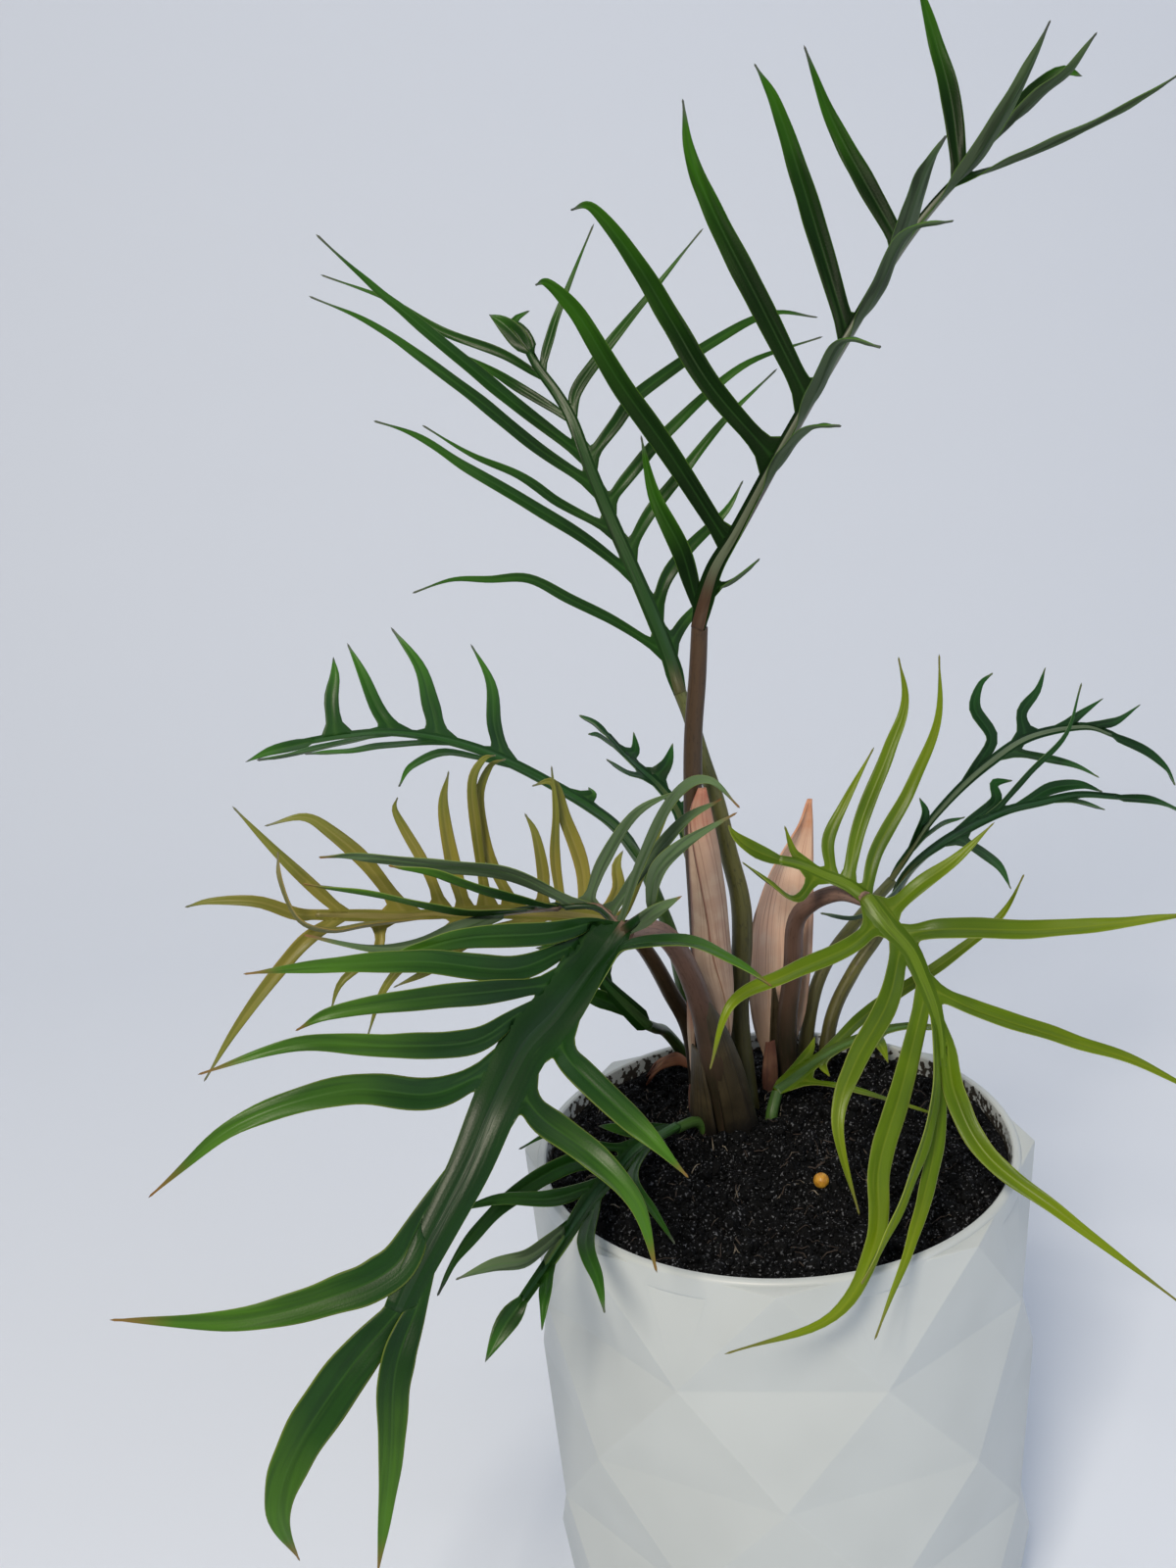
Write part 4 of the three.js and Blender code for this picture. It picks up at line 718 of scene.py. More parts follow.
addLeaf(
    "front_right_leaf", "freshLeaf", "pinkStalk", ("#7a5c4c", "#5a740e", "#7a5c48"), up=(0.2, -0.5, 0.85),
    radii=(2.7, 1.9), habit=dict(greenUpper=(-4, 2)),
    petiole=[(8, 36, 107), (8, 37, 129), (10, 36, 146), (11, 34, 160), (15, 30, 167), (21, 25, 171)],
)
addDivision(radii=(1.5, 0.6), wings=(1.6, 0.8), rachis=[
    (26, 18, 172), (30, 12, 167), (34, 6, 163), (36, 0, 158), (37, -6, 154), (37, -12, 149), (36, -18, 145),
], lobes=[
    left(0.12, 4.2, (38, 14, 176), (47, 16, 181), (57, 18, 189)),
    left(0.26, 5.6, (44, 8, 167), (65, 8, 165), (85, 6, 166), (102, 4, 168)),
    left(0.58, 5.0, (48, -6, 152), (65, -10, 146), (82, -14, 140), (98, -18, 131)),
    left(0.85, 5.0, (38, -24, 141), (43, -34, 131), (57, -46, 122), (79, -56, 105)),
    right(0.14, 4.6, (19, 4, 166), (3, -8, 166), (-10, -16, 164), (-16, -20, 150)),
    right(0.32, 5.2, (26, -8, 157), (16, -20, 148), (11, -28, 138), (14, -36, 120)),
    right(0.63, 5.2, (26, -24, 144), (18, -40, 135), (14, -56, 127), (3, -68, 118), (-20, -76, 117)),
    right(0.80, 4.0, (32, -30, 144), (25, -44, 136), (16, -58, 129), (9, -68, 125)),
    tip(4.0, (32, -32, 136), (26, -46, 129), (20, -58, 124), (11, -70, 113)),
])
addDivision(radii=(1.3, 0.7), wings=(0.8, 0.6), rachis=[
    (27, 18, 171), (22, 20, 175), (17, 22, 177), (11, 23, 180), (6, 22, 182),
], lobes=[
    left(0.58, 2.4, (9, 14, 175), (3, 10, 181), (-4, 8, 188)),
    right(0.09, 3.6, (30, 24, 182), (39, 30, 194), (47, 34, 210), (48, 36, 226)),
    right(0.28, 3.8, (27, 28, 188), (35, 34, 203), (40, 38, 214), (39, 40, 225)),
    right(0.46, 3.2, (19, 28, 184), (24, 32, 192), (32, 36, 204)),
    right(0.71, 2.2, (10, 24, 183), (8, 24, 190)),
    tip(4.0, (0, 20, 186), (-4, 18, 190), (-6, 17, 194)),
])

addLeaf(
    "back_right_leaf", "darkLeaf", "oliveStalk", ("#5a5f34", "#5c6f54", "#6f7a60"), up=(0, -0.4, 0.9),
    radii=(2.0, 1.5),
    petiole=[(12, 44, 107), (16, 50, 128), (22, 56, 139), (32, 64, 147)],
)
addDivision(radii=(1.2, 0.5), wings=(1.0, 0.8), rachis=[
    (42, 72, 153), (48, 76, 159), (55, 81, 166), (64, 86, 173), (73, 91, 178), (83, 96, 182), (93, 100, 183),
    (104, 104, 182), (112, 107, 178),
], lobes=[
    left(0.19, 3.4, (53, 80, 169), (52, 82, 173)),
    left(0.45, 4.6, (74, 92, 185), (70, 95, 193), (72, 97, 199), (76, 98, 202)),
    left(0.65, 3.6, (84, 98, 190), (89, 101, 195), (92, 103, 201)),
    left(0.81, 2.8, (102, 104, 186), (110, 108, 189)),
    left(0.92, 2.8, (114, 108, 182), (122, 112, 185)),
    right(0.18, 2.6, (55, 68, 170), (60, 62, 174)),
    right(0.58, 3.0, (87, 90, 179), (95, 84, 178), (100, 78, 176)),
    tip(3.6, (122, 109, 172), (129, 110, 166), (132, 110, 160)),
])

addLeaf(
    "low_right_leaf", "darkLeaf", "oliveStalk", ("#5a5f34", "#1c4420", "#5a7450"), up=(0, -0.4, 0.9),
    radii=(2.0, 1.5),
    petiole=[(17, 41, 107), (21, 48, 125), (28, 52, 137), (35, 55, 145)],
)
addDivision(radii=(1.2, 0.5), wings=(1.0, 0.8), rachis=[
    (40, 58, 152), (45, 62, 159), (54, 67, 164), (64, 72, 167), (74, 76, 169), (84, 80, 169), (96, 84, 169),
    (108, 88, 166),
], lobes=[
    left(0.42, 4.2, (71, 76, 172), (72, 80, 176), (78, 84, 175)),
    left(0.54, 2.2, (80, 78, 178), (91, 79, 189), (95, 79, 203)),
    left(0.68, 3.6, (89, 84, 172), (98, 87, 171), (105, 91, 167)),
    right(0.15, 3.8, (37, 54, 155), (28, 50, 153), (19, 48, 156)),
    right(0.35, 3.4, (63, 60, 165), (66, 50, 164), (67, 42, 161)),
    right(0.81, 2.4, (96, 78, 169), (100, 72, 169)),
    tip(3.4, (120, 91, 163), (131, 92, 157)),
])

addLeaf(
    "small_right_leaf", "freshLeaf", "greenStalk", ("#3c5c28", "#4a701c", "#64803c"), up=(0, -0.3, 0.95),
    radii=(1.7, 1.4),
    petiole=[(1, 17.5, 108), (1.2, 18.6, 115)],
)
addDivision(radii=(1.3, 0.5), wings=(1.4, 1.0), rachis=[
    (3, 22, 119.5), (11, 27, 122), (19, 32, 124), (27, 36, 125), (35, 40, 125), (41, 43, 124),
], lobes=[
    left(0.20, 2.6, (13, 32, 125), (15, 36, 127)),
    left(0.45, 3.8, (31, 44, 129), (51, 50, 138), (67, 54, 148), (74, 56, 159)),
    right(0.14, 2.0, (19, 16, 123), (31, 10, 121), (41, 4, 119.5)),
    right(0.34, 2.6, (15, 22, 126), (16, 18, 125)),
    right(0.65, 3.4, (31, 30, 126), (32, 26, 123)),
    tip(4.2, (46, 46, 122), (51, 49, 120)),
])

addLeaf(
    "small_back_leaf", "darkLeaf", "oliveStalk", ("#4a5a2c", "#1c4420", "#5a7450"), up=(0.3, -0.7, 0.7),
    radii=(1.8, 1.3),
    petiole=[(-8, 31, 107), (-10, 48, 131), (-12, 53, 149), (-12, 56, 164)],
)
addDivision(radii=(1.1, 0.5), wings=(1.2, 1.0), rachis=[
    (-14, 58, 175), (-16, 60, 183), (-20, 62, 189), (-24, 64, 193), (-28, 66, 197), (-32, 68, 202),
], lobes=[
    left(0.14, 3.0, (-11, 64, 186), (-8, 66, 193)),
    left(0.47, 3.4, (-17, 66, 194), (-15, 70, 198)),
    left(0.78, 3.0, (-25, 70, 197), (-25, 73, 201)),
    right(0.54, 2.4, (-28, 58, 195), (-33, 52, 201)),
    right(0.89, 2.2, (-34, 62, 204), (-37, 58, 206)),
    tip(3.2, (-35, 70, 205), (-39, 72, 207)),
])

addLeaf(
    "low_left_leaf", "leaf", "greenStalk", ("#2f5628", "#103814", "#4c7448"), up=(-0.3, -0.3, 0.9),
    radii=(1.5, 1.3),
    petiole=[(-15, 14, 108), (-16, 13, 116), (-18.5, 11, 119.4)],
)
addDivision(radii=(1.1, 0.5), wings=(2.0, 1.2), rachis=[
    (-23, 6, 121), (-33, -4, 122), (-39, -14, 122), (-44, -26, 124), (-48, -38, 126), (-52, -48, 126),
    (-56, -56, 125), (-60, -62, 123),
], lobes=[
    left(0.08, 5.0, (-35, 0, 125), (-42, -4, 129)),
    left(0.20, 2.0, (-43, -14, 130), (-52, -18, 136), (-60, -22, 135)),
    left(0.28, 4.6, (-49, -28, 134), (-62, -44, 136), (-72, -56, 132), (-77, -62, 126)),
    left(0.44, 3.8, (-53, -40, 133), (-63, -50, 140), (-72, -56, 142)),
    left(0.68, 3.8, (-58, -60, 132), (-65, -66, 135), (-72, -70, 135)),
    right(0.16, 3.0, (-35, -24, 126), (-31, -34, 124), (-27, -42, 120.5)),
    right(0.51, 3.8, (-46, -52, 129), (-44, -62, 127), (-43, -68, 123)),
    right(0.85, 3.0, (-55, -64, 125), (-56, -68, 120)),
    tip(4.6, (-64, -66, 120), (-68, -70, 115)),
])

addLeaf(
    "small_left_leaf", "leaf", "greenStalk", ("#3c5c28", "#245018", "#5a8040"), up=(-0.2, -0.5, 0.85),
    radii=(1.6, 1.3),
    petiole=[(-15, 50, 107), (-18.5, 47, 119), (-23, 39, 130), (-26, 28, 137)],
)
addDivision(radii=(1.2, 0.6), wings=(1.6, 1.0), rachis=[
    (-28, 20, 142), (-33, 16, 150), (-37, 12, 157), (-40, 9, 163),
], lobes=[
    left(0.49, 4.4, (-41, 8, 157), (-48, 4, 161)),
    right(0.81, 4.0, (-37, 14, 164), (-40, 18, 167)),
    tip(4.6, (-43, 6, 169), (-48, 3, 172), (-53, 0, 174)),
])

# Blades: grooved, folded, thin-edged lobes that sit in the wings of a rachis. The sizes are of one lobe.

lobeSet = dict(
    widest=0.35,
    narrowsFrom=0.28,
    narrowing=1.7,
    halfThickness=0.28,
    edgeHalfThickness=0.16,
    columns=(0.4, 0.68, 0.88, 1),  # beyond the groove, as shares of the half width
    fold=17.0,  # how far each half rises from the midrib, in degrees, and the shares of it that are drawn
    foldShares=(0.6, 1.3),
    foldMiddle=0.45,  # the share of the half width at which the fold changes no height
    grooveDepth=0.08,
    keelDepth=0.22,
    grooveHalfWidth=0.35,
    tipHalfWidth=0.24,  # the thread-like tip's, and how fast it narrows to its point
    tipTaper=30,
    rippleHeight=0.2,
    rippleLength=17.0,
    widthWaver=0.025,
    waverLengths=(11.0, 13.0),
    tones=(0.0, 0.55),  # between these lies each lobe's own tone
    stationStep=1.7,  # the distance of the rings along it, and the fewest and the most of them
    stations=(9, 40),
    rootReach=1.5,  # how far along itself a lobe widens to its root, beyond half of the root's width
    wingShare=0.35,  # how much of the wing's width a root spreads by
    gapShare=0.45,  # how far a root may spread towards the next lobe
    seatDepth=1.6,  # how far and how high the root ring lies in the wing
    seatHeight=0.12,
    seed=7,
)
rachisSet = dict(
    step=2.0,
    webHalfThickness=0.26,
    webEdge=(0.15, 0.8),  # how far in from the wing's edge it is thinner, and by what share
    wingTone=0.3,
    upperHeight=0.4,  # how far it rises over the wings, as a share of its radius
    stalkRun=14,  # over this length it takes up its stalk's thickness
    flatRun=8,  # over this length it sinks to its height over the wings
    marginRun=(2, 12),  # here its wings get their pale margin
    wingStart=0.06,  # here, as a share of its length, the wings have their full width
)
# What a leaf's own habit may change
usualHabit = dict(
    rootShare=0.74,  # the width of a lobe's root as a share of its greatest
    flare=2.2,  # how far a root spreads along the rachis past the lobe's own width
    wings=1.0, leftRoll=0, rightRoll=0, leftWiden=1.0, rightWiden=1.0,
    greenUpper=(4, 22),  # where the stalk's colour ends above and below, along the rachis
    greenLower=(10, 60),
)


def outline(s, rootShare):
    rise = mix(rootShare, 1, math.sin(min(s / lobeSet["widest"], 1) * math.pi / 2))
    late = max((s - lobeSet["narrowsFrom"]) / (1 - lobeSet["narrowsFrom"]), 0.0)
    return rise * (1 - late ** lobeSet["narrowing"])


# A rachis and the lobes that leave it, with the directions in which they lie.
class Division:
    def __init__(self, leaf, carriesOn, rachis, radii, lobes, wings=(0, 0), round=False):
        self.habit = usualHabit | leaf["habit"]
        self.path = Path(lifted(rachis))
        self.radii, self.round = radii, round
        self.wings = [width * self.habit["wings"] for width in wings]
        self.stalkEnd = leaf["radii"][1] if carriesOn else None
        self.up = unit(np.array(leaf["up"], float))
        self.tip = dict(next(lobe for lobe in lobes if lobe["side"] == "tip"), roll=0)
        self.sides = {}
        for side in ("left", "right"):
            row = sorted((dict(lobe) for lobe in lobes if lobe["side"] == side), key=lambda lobe: lobe["at"])
            for lobe in row:
                first = np.array(lifted(lobe["points"])[0]) - self.path.at(lobe["at"])
                lobe["outward"] = squareTo(first, self.path.heading(lobe["at"]))
                lobe["roll"] = self.habit[side + "Roll"]
                lobe["width"] *= self.habit[side + "Widen"]
            for i, lobe in enumerate(row):
                at, gap = lobe["at"], lobeSet["gapShare"]
                half = 0.5 * lobe["width"] + self.habit["flare"] + lobeSet["wingShare"] * self.wingAt(at)
                half /= self.path.length
                before = mix(at, row[i - 1]["at"], gap) if i > 0 else 0.01
                after = mix(at, row[i + 1]["at"], gap) if i + 1 < len(row) else 0.99
                lobe["root"] = (max(at - half, before), min(at + half, after))
            self.sides[side] = row

    def radiusAt(self, t):
        own = mix(self.radii[0], self.radii[1], t)
        if self.stalkEnd is None:
            return own
        return mix(self.stalkEnd, own, smoothShare(t * self.path.length, 0, rachisSet["stalkRun"]))

    def wingAt(self, t):
        return self.radiusAt(t) + mix(self.wings[0], self.wings[1], t) * min(1.0, t / rachisSet["wingStart"])

    def outward(self, side, t):
        row = self.sides[side]
        heading = self.path.heading(t)
        if not row:
            return -self.outward("right" if side == "left" else "left", t)
        places = [lobe["at"] for lobe in row]
        if t <= places[0]:
            return squareTo(row[0]["outward"], heading)
        if t > places[-1]:
            return squareTo(row[-1]["outward"], heading)
        i = next(k for k, place in enumerate(places) if place >= t)
        share = (t - places[i - 1]) / (places[i] - places[i - 1])
        return squareTo(mix(row[i - 1]["outward"], row[i]["outward"], share), heading)

    def upward(self, side, t):
        normal = unit(np.cross(self.path.heading(t), self.outward(side, t)))
        return normal if np.dot(normal, self.up) > 0 else -normal

    def middleUp(self, t):
        return squareTo(self.upward("left", t) + self.upward("right", t), self.path.heading(t))

    def fromRachis(self, side, t):
        return self.path.at(t) + self.outward(side, t) * self.wingAt(t)


# A leaf's looks: 0 upper face, 1 underside, 2 rachis. The rachis lies flush with the wings above and is
# round below.
def addRachis(shell, division, offset):
    path = division.path
    steps = max(6, round(path.length / rachisSet["step"]))
    web, wingTone = rachisSet["webHalfThickness"], rachisSet["wingTone"]
    edgeIn, edgeShare = rachisSet["webEdge"]
    slant = math.radians(45)
    rings = []
    for t in [0.0, 0.3 / steps] + [i / steps for i in range(1, steps + 1)]:
        middle, radius, up = path.at(t), division.radiusAt(t), division.middleUp(t)
        run = t * path.length
        flat = 1.0
        if not division.round:
            flat = mix(1.0, rachisSet["upperHeight"], smoothShare(run, 0, rachisSet["flatRun"]))
        wing = max(division.wingAt(t), radius * 1.04)
        arms = [division.outward("left", t), division.outward("right", t)]

        # the half ring from one edge over the rachis to the other, above (1) or below (-1)
        def half(face):
            height = radius * (flat if face > 0 else 1.0)
            thin = min(web, 0.6 * radius) * face
            foot = thin if height > web else face * height * 0.4
            shoulder = face * max(math.sin(slant) * height, web)
            sides = [
                [
                    (arm * (wing - edgeIn) + up * thin * edgeShare, 0.0, wingTone),
                    (arm * radius * 0.95 + up * foot, 0.0, 0.5),
                    (arm * math.cos(slant) * radius + up * shoulder, 0.0, 1.0),
                ]
                for arm in arms
            ]
            row = [*sides[0], (up * face * max(height, web), 0.0, 1.0), *reversed(sides[1])]
            green = smoothShare(run, *division.habit["greenUpper" if face > 0 else "greenLower"])
            below = 0.0 if face > 0 else 1.0
            return [
                (p, (rib, below, 0.0, green) if 0 < k < 6 else (rib, 0.0, 0.0, tone))
                for k, (p, rib, tone) in enumerate(row)
            ]

        margin = smoothShare(run, *rachisSet["marginRun"])
        edges = [(arm * wing, (0.0, margin, 0.0, wingTone)) for arm in arms]
        ring = [edges[0], *half(1), edges[1], *reversed(half(-1))]
        rings.append([(middle + p, marks, (*p[:2], run + offset)) for p, marks in ring])
    looks = [0, 0, 2, 2, 2, 2, 0, 0, 1, 1, 2, 2, 2, 2, 1, 1]
    shell.loft(rings, [2] * 16 if division.round else looks)


def addLobe(shell, division, lobe, rng, offset):
    isTip = lobe["side"] == "tip"
    sides = ("left", "right") if isTip else (lobe["side"], lobe["side"])
    at, (begin, end) = (1.0, (1.0, 1.0)) if isTip else (lobe["at"], lobe["root"])
    normal = division.middleUp(1.0) if isTip else division.upward(lobe["side"], at)
    root = division.path.at(1.0) if isTip else division.fromRachis(lobe["side"], at)
    rear = division.fromRachis(sides[0], begin) - root
    front = division.fromRachis(sides[1], end) - root
    path = Path([root, *lifted(lobe["points"])])
    rootWidth = np.linalg.norm(rear) + np.linalg.norm(front)
    flare = min(0.5, (lobeSet["rootReach"] + 0.5 * rootWidth) / path.length)
    ownTone = float(rng.uniform(*lobeSet["tones"]))
    phases = rng.uniform(0, 2 * math.pi, 4)
    fold = math.tan(math.radians(lobeSet["fold"] * rng.uniform(*lobeSet["foldShares"])))

    # Where a column starts on the wing's edge, the way up there, and the way into the wing.
    def edgeSpot(u):
        side = sides[0] if u < 0 else sides[1]
        if isTip:
            spotUp = normal if u == 0 else division.upward(side, 1.0)
            return root + (rear if u < 0 else front) * abs(u), spotUp, -division.path.heading(1.0)
        t = mix(at, begin if u < 0 else end, abs(u))
        return division.fromRachis(side, t), division.upward(side, t), -division.outward(side, t)

    fewest, most = lobeSet["stations"]
    steps = int(min(max(path.length / lobeSet["stationStep"], fewest), most))
    rings = []
    up = normal
    hand = None
    for s in [i / steps for i in range(steps)] + [1 - 0.4 / steps]:
        middle, heading = path.at(s), path.heading(s)
        up = squareTo(up, heading)
        across = unit(np.cross(heading, up))
        if hand is None:
            hand = 1 if np.dot(across, front - rear) > 0 else -1
        across = across * hand
        k = math.sqrt(max(0.0, 1 - (1 - s / flare) ** 2)) if s < flare else 1.0
        thread = min(lobeSet["tipHalfWidth"], lobeSet["tipTaper"] * (1 - s))
        half = max(0.5 * lobe["width"] * outline(s, division.habit["rootShare"]), thread)
        run = s * path.length
        turns = 2 * math.pi * run
        waver = lobeSet["widthWaver"] * smoothShare(s, 0.1, 0.4)
        reach = [
            half * (1 + waver * math.sin(turns / length + phase))
            for length, phase in zip(lobeSet["waverLengths"], phases)
        ]
        rippling = lobeSet["rippleHeight"] * smoothShare(s, 0.15, 0.5)
        ripple = [rippling * math.sin(turns / lobeSet["rippleLength"] + phase) for phase in phases[2:]]
        grooveShare = min(0.3, lobeSet["grooveHalfWidth"] / max(half, 0.1))
        columns = [grooveShare, *lobeSet["columns"]]
        columns = [-u for u in columns[::-1]] + [0] + columns
        thick = min(lobeSet["halfThickness"], 0.5 * half + 0.03) * mix(0.8, 1.0, smoothShare(s, 0.0, 0.1))
        edgeThick = min(lobeSet["edgeHalfThickness"], 0.6 * thick)
        settled = smoothShare(s, 0.0, 0.2)
        lift = fold * half * k * settled
        tone = mix(rachisSet["wingTone"], ownTone, settled)
        roll = math.radians(lobe["roll"]) * smoothShare(s, 0.0, 0.25)
        rolled = up * math.cos(roll) + across * math.sin(roll)
        across = across * math.cos(roll) - up * math.sin(roll)

        def point(u, face):
            place, way = middle + across * u * reach[0 if u < 0 else 1], rolled
            if k < 1:
                spot, spotUp, _ = edgeSpot(u)
                place = place * k + (spot + middle - root) * (1 - k)
                way = unit(rolled * k + spotUp * (1 - k))
            height = lift * (abs(u) - lobeSet["foldMiddle"]) + ripple[0 if u < 0 else 1] * u * u
            if abs(u) < 1:
                height += face * (edgeThick if abs(u) > 0.8 else mix(thick, edgeThick, u * u))
            if u == 0:
                depth = lobeSet["grooveDepth"] if face > 0 else lobeSet["keelDepth"]
                height -= depth * min(1.0, thick / lobeSet["halfThickness"])
            marks = (1.0 if u == 0 else 0.0, 1.0 if abs(u) == 1 else 0.0, s, tone)
            return place + way * height, marks, (u * half, offset, run)

        around = [(u, 1) for u in columns] + [(u, -1) for u in columns[-2:0:-1]]
        rings.append([point(u, face) for u, face in around])
        if s == 0:
            rootAround = around
    # the root ring lies just under the wing's faces
    seat = min(lobeSet["seatDepth"], 0.6 * division.wingAt(at))
    sunkRing = []
    for (u, face), (_, marks, lay) in zip(rootAround, rings[0]):
        rise = 0.0 if abs(u) == 1 else face * lobeSet["seatHeight"]
        spot, spotUp, inwards = edgeSpot(u)
        sunkRing.append((spot + inwards * seat + spotUp * rise, marks, lay))
    rings.insert(0, sunkRing)
    rings.append([(path.at(1.0), (1.0, 0.0, 1.0, tone), (0.0, offset, path.length))])
    faces = [0] * 10 + [1] * 10
    shell.loft(rings, faces[::-1] if division.round else faces)


def buildBlade(leaf, index):
    rng = np.random.default_rng(lobeSet["seed"] + index)
    shell = Shell()
    for d, part in enumerate(leaf["divisions"]):
        division = Division(leaf, d == 0, **part)
        addRachis(shell, division, 100.0 * d)
        for n, lobe in enumerate([*division.sides["left"], *division.sides["right"], division.tip]):
            addLobe(shell, division, lobe, rng, 7.3 * n + 31 * d)
    looks = [leafLooks[leaf["skin"], "upper"], leafLooks[leaf["skin"], "under"], rachisMaterial(leaf)]
    makeMesh(leaf["name"] + "Blade", shell, looks, leaf["colour"], leaf["name"] + "_blade")


# Petioles: round stalks swept along their path by Geometry Nodes.

stalkSet = dict(
    sides=20, step=1.5, wrinkle=0.05, wrinkleLengths=(7, 2.9), ringEvery=9.0, ringHeight=0.12, ringWidth=0.9,
    ringsUntil=0.2, intoBlade=0.25, seed=300,
)


def stalkRadius(leaf, t):
    low, high = leaf["radii"]
    if "swelling" not in leaf:
        return mix(low, high, t)
    until, radius = leaf["swelling"]["until"], leaf["swelling"]["radius"]
    if t > until:
        return mix(radius, high, (t - until) / (1 - until))
    return mix(low, radius, smoothShare(t, until * 0.4, until))


def stalkTree():
    tree, given = newTree("stalkTube", Sides="Int", Skin="Material")
    radius = addNode(tree, "GeometryNodeInputNamedAttribute", {"Name": "radius"}, data_type="FLOAT")
    curve = addNode(tree, "GeometryNodeMeshToCurve", {"Mesh": given["Geometry"]})
    ring = addNode(tree, "GeometryNodeCurvePrimitiveCircle", {"Resolution": given["Sides"], "Radius": 1.0})
    place = addNode(tree, "GeometryNodeInputPosition")
    section = addNode(tree, "GeometryNodeStoreNamedAttribute", {
        "Geometry": ring.outputs["Curve"], "Name": "section", "Value": place.outputs[0],
    }, data_type="FLOAT_VECTOR", domain="POINT")
    tube = addNode(tree, "GeometryNodeCurveToMesh", {
        "Curve": curve.outputs["Curve"], "Profile Curve": section.outputs["Geometry"],
        "Scale": radius.outputs["Attribute"], "Fill Caps": True,
    })
    smooth = addNode(tree, "GeometryNodeSetShadeSmooth", {"Geometry": tube.outputs["Mesh"]})
    finishTree(tree, smooth.outputs[0], given["Skin"])
    return tree


def buildPetiole(leaf, index, tree):
    rng = np.random.default_rng(stalkSet["seed"] + index)
    rachis = Path(lifted(leaf["divisions"][0]["rachis"]))
    endPoint = rachis.at(0.0) + rachis.heading(0.0) * stalkSet["intoBlade"]
    path = Path([*lifted(leaf["petiole"]), endPoint])
    steps = round(path.length / stalkSet["step"])
    phases = rng.uniform(0, 2 * math.pi, 3)
    coarse, fine = stalkSet["wrinkleLengths"]
    shares = [i / steps for i in range(steps + 1)]
    radii = []
    for t in shares:
        run = t * path.length
        waves = math.sin(run / coarse + phases[0]) + 0.6 * math.sin(run / fine + phases[1])
        swell = stalkSet["wrinkle"] * waves * (1 - t)
        beyond = (run % stalkSet["ringEvery"]) / stalkSet["ringWidth"]
        ring = stalkSet["ringHeight"] * math.exp(-beyond ** 2) if t < stalkSet["ringsUntil"] else 0.0
        radii.append((stalkRadius(leaf, t) + swell + ring) * mm)
    name = leaf["name"] + "Petiole"
    spine = newMesh(name, [path.at(t) for t in shares], edges=[(i, i + 1) for i in range(steps)])
    store(spine, "radius", "FLOAT", radii)
    store(spine, "along", "FLOAT", shares)
    piece = addObject(name, spine)
    bake(piece, tree, dict(Sides=stalkSet["sides"], Skin=stalkLooks[leaf["stalk"]]))

    done = piece.data
    count = len(done.vertices)
    section, along = np.zeros(count * 3), np.zeros(count)
    done.attributes["section"].data.foreach_get("vector", section)
    done.attributes["along"].data.foreach_get("value", along)
    lay = section.reshape(-1, 3) * stalkRadius(leaf, 0.5)
    lay[:, 2] = along * path.length + 40 * index
    marks = np.zeros((count, 4))
    marks[:, 2] = along
    store(done, "lay", "FLOAT_VECTOR", lay)
    store(done, "marks", "FLOAT_COLOR", marks)
    settle(piece, leaf["stalk"], leaf["name"] + "_petiole")


# Sheaths: rows from top to bottom of (height, left edge, right edge, bulge between them)

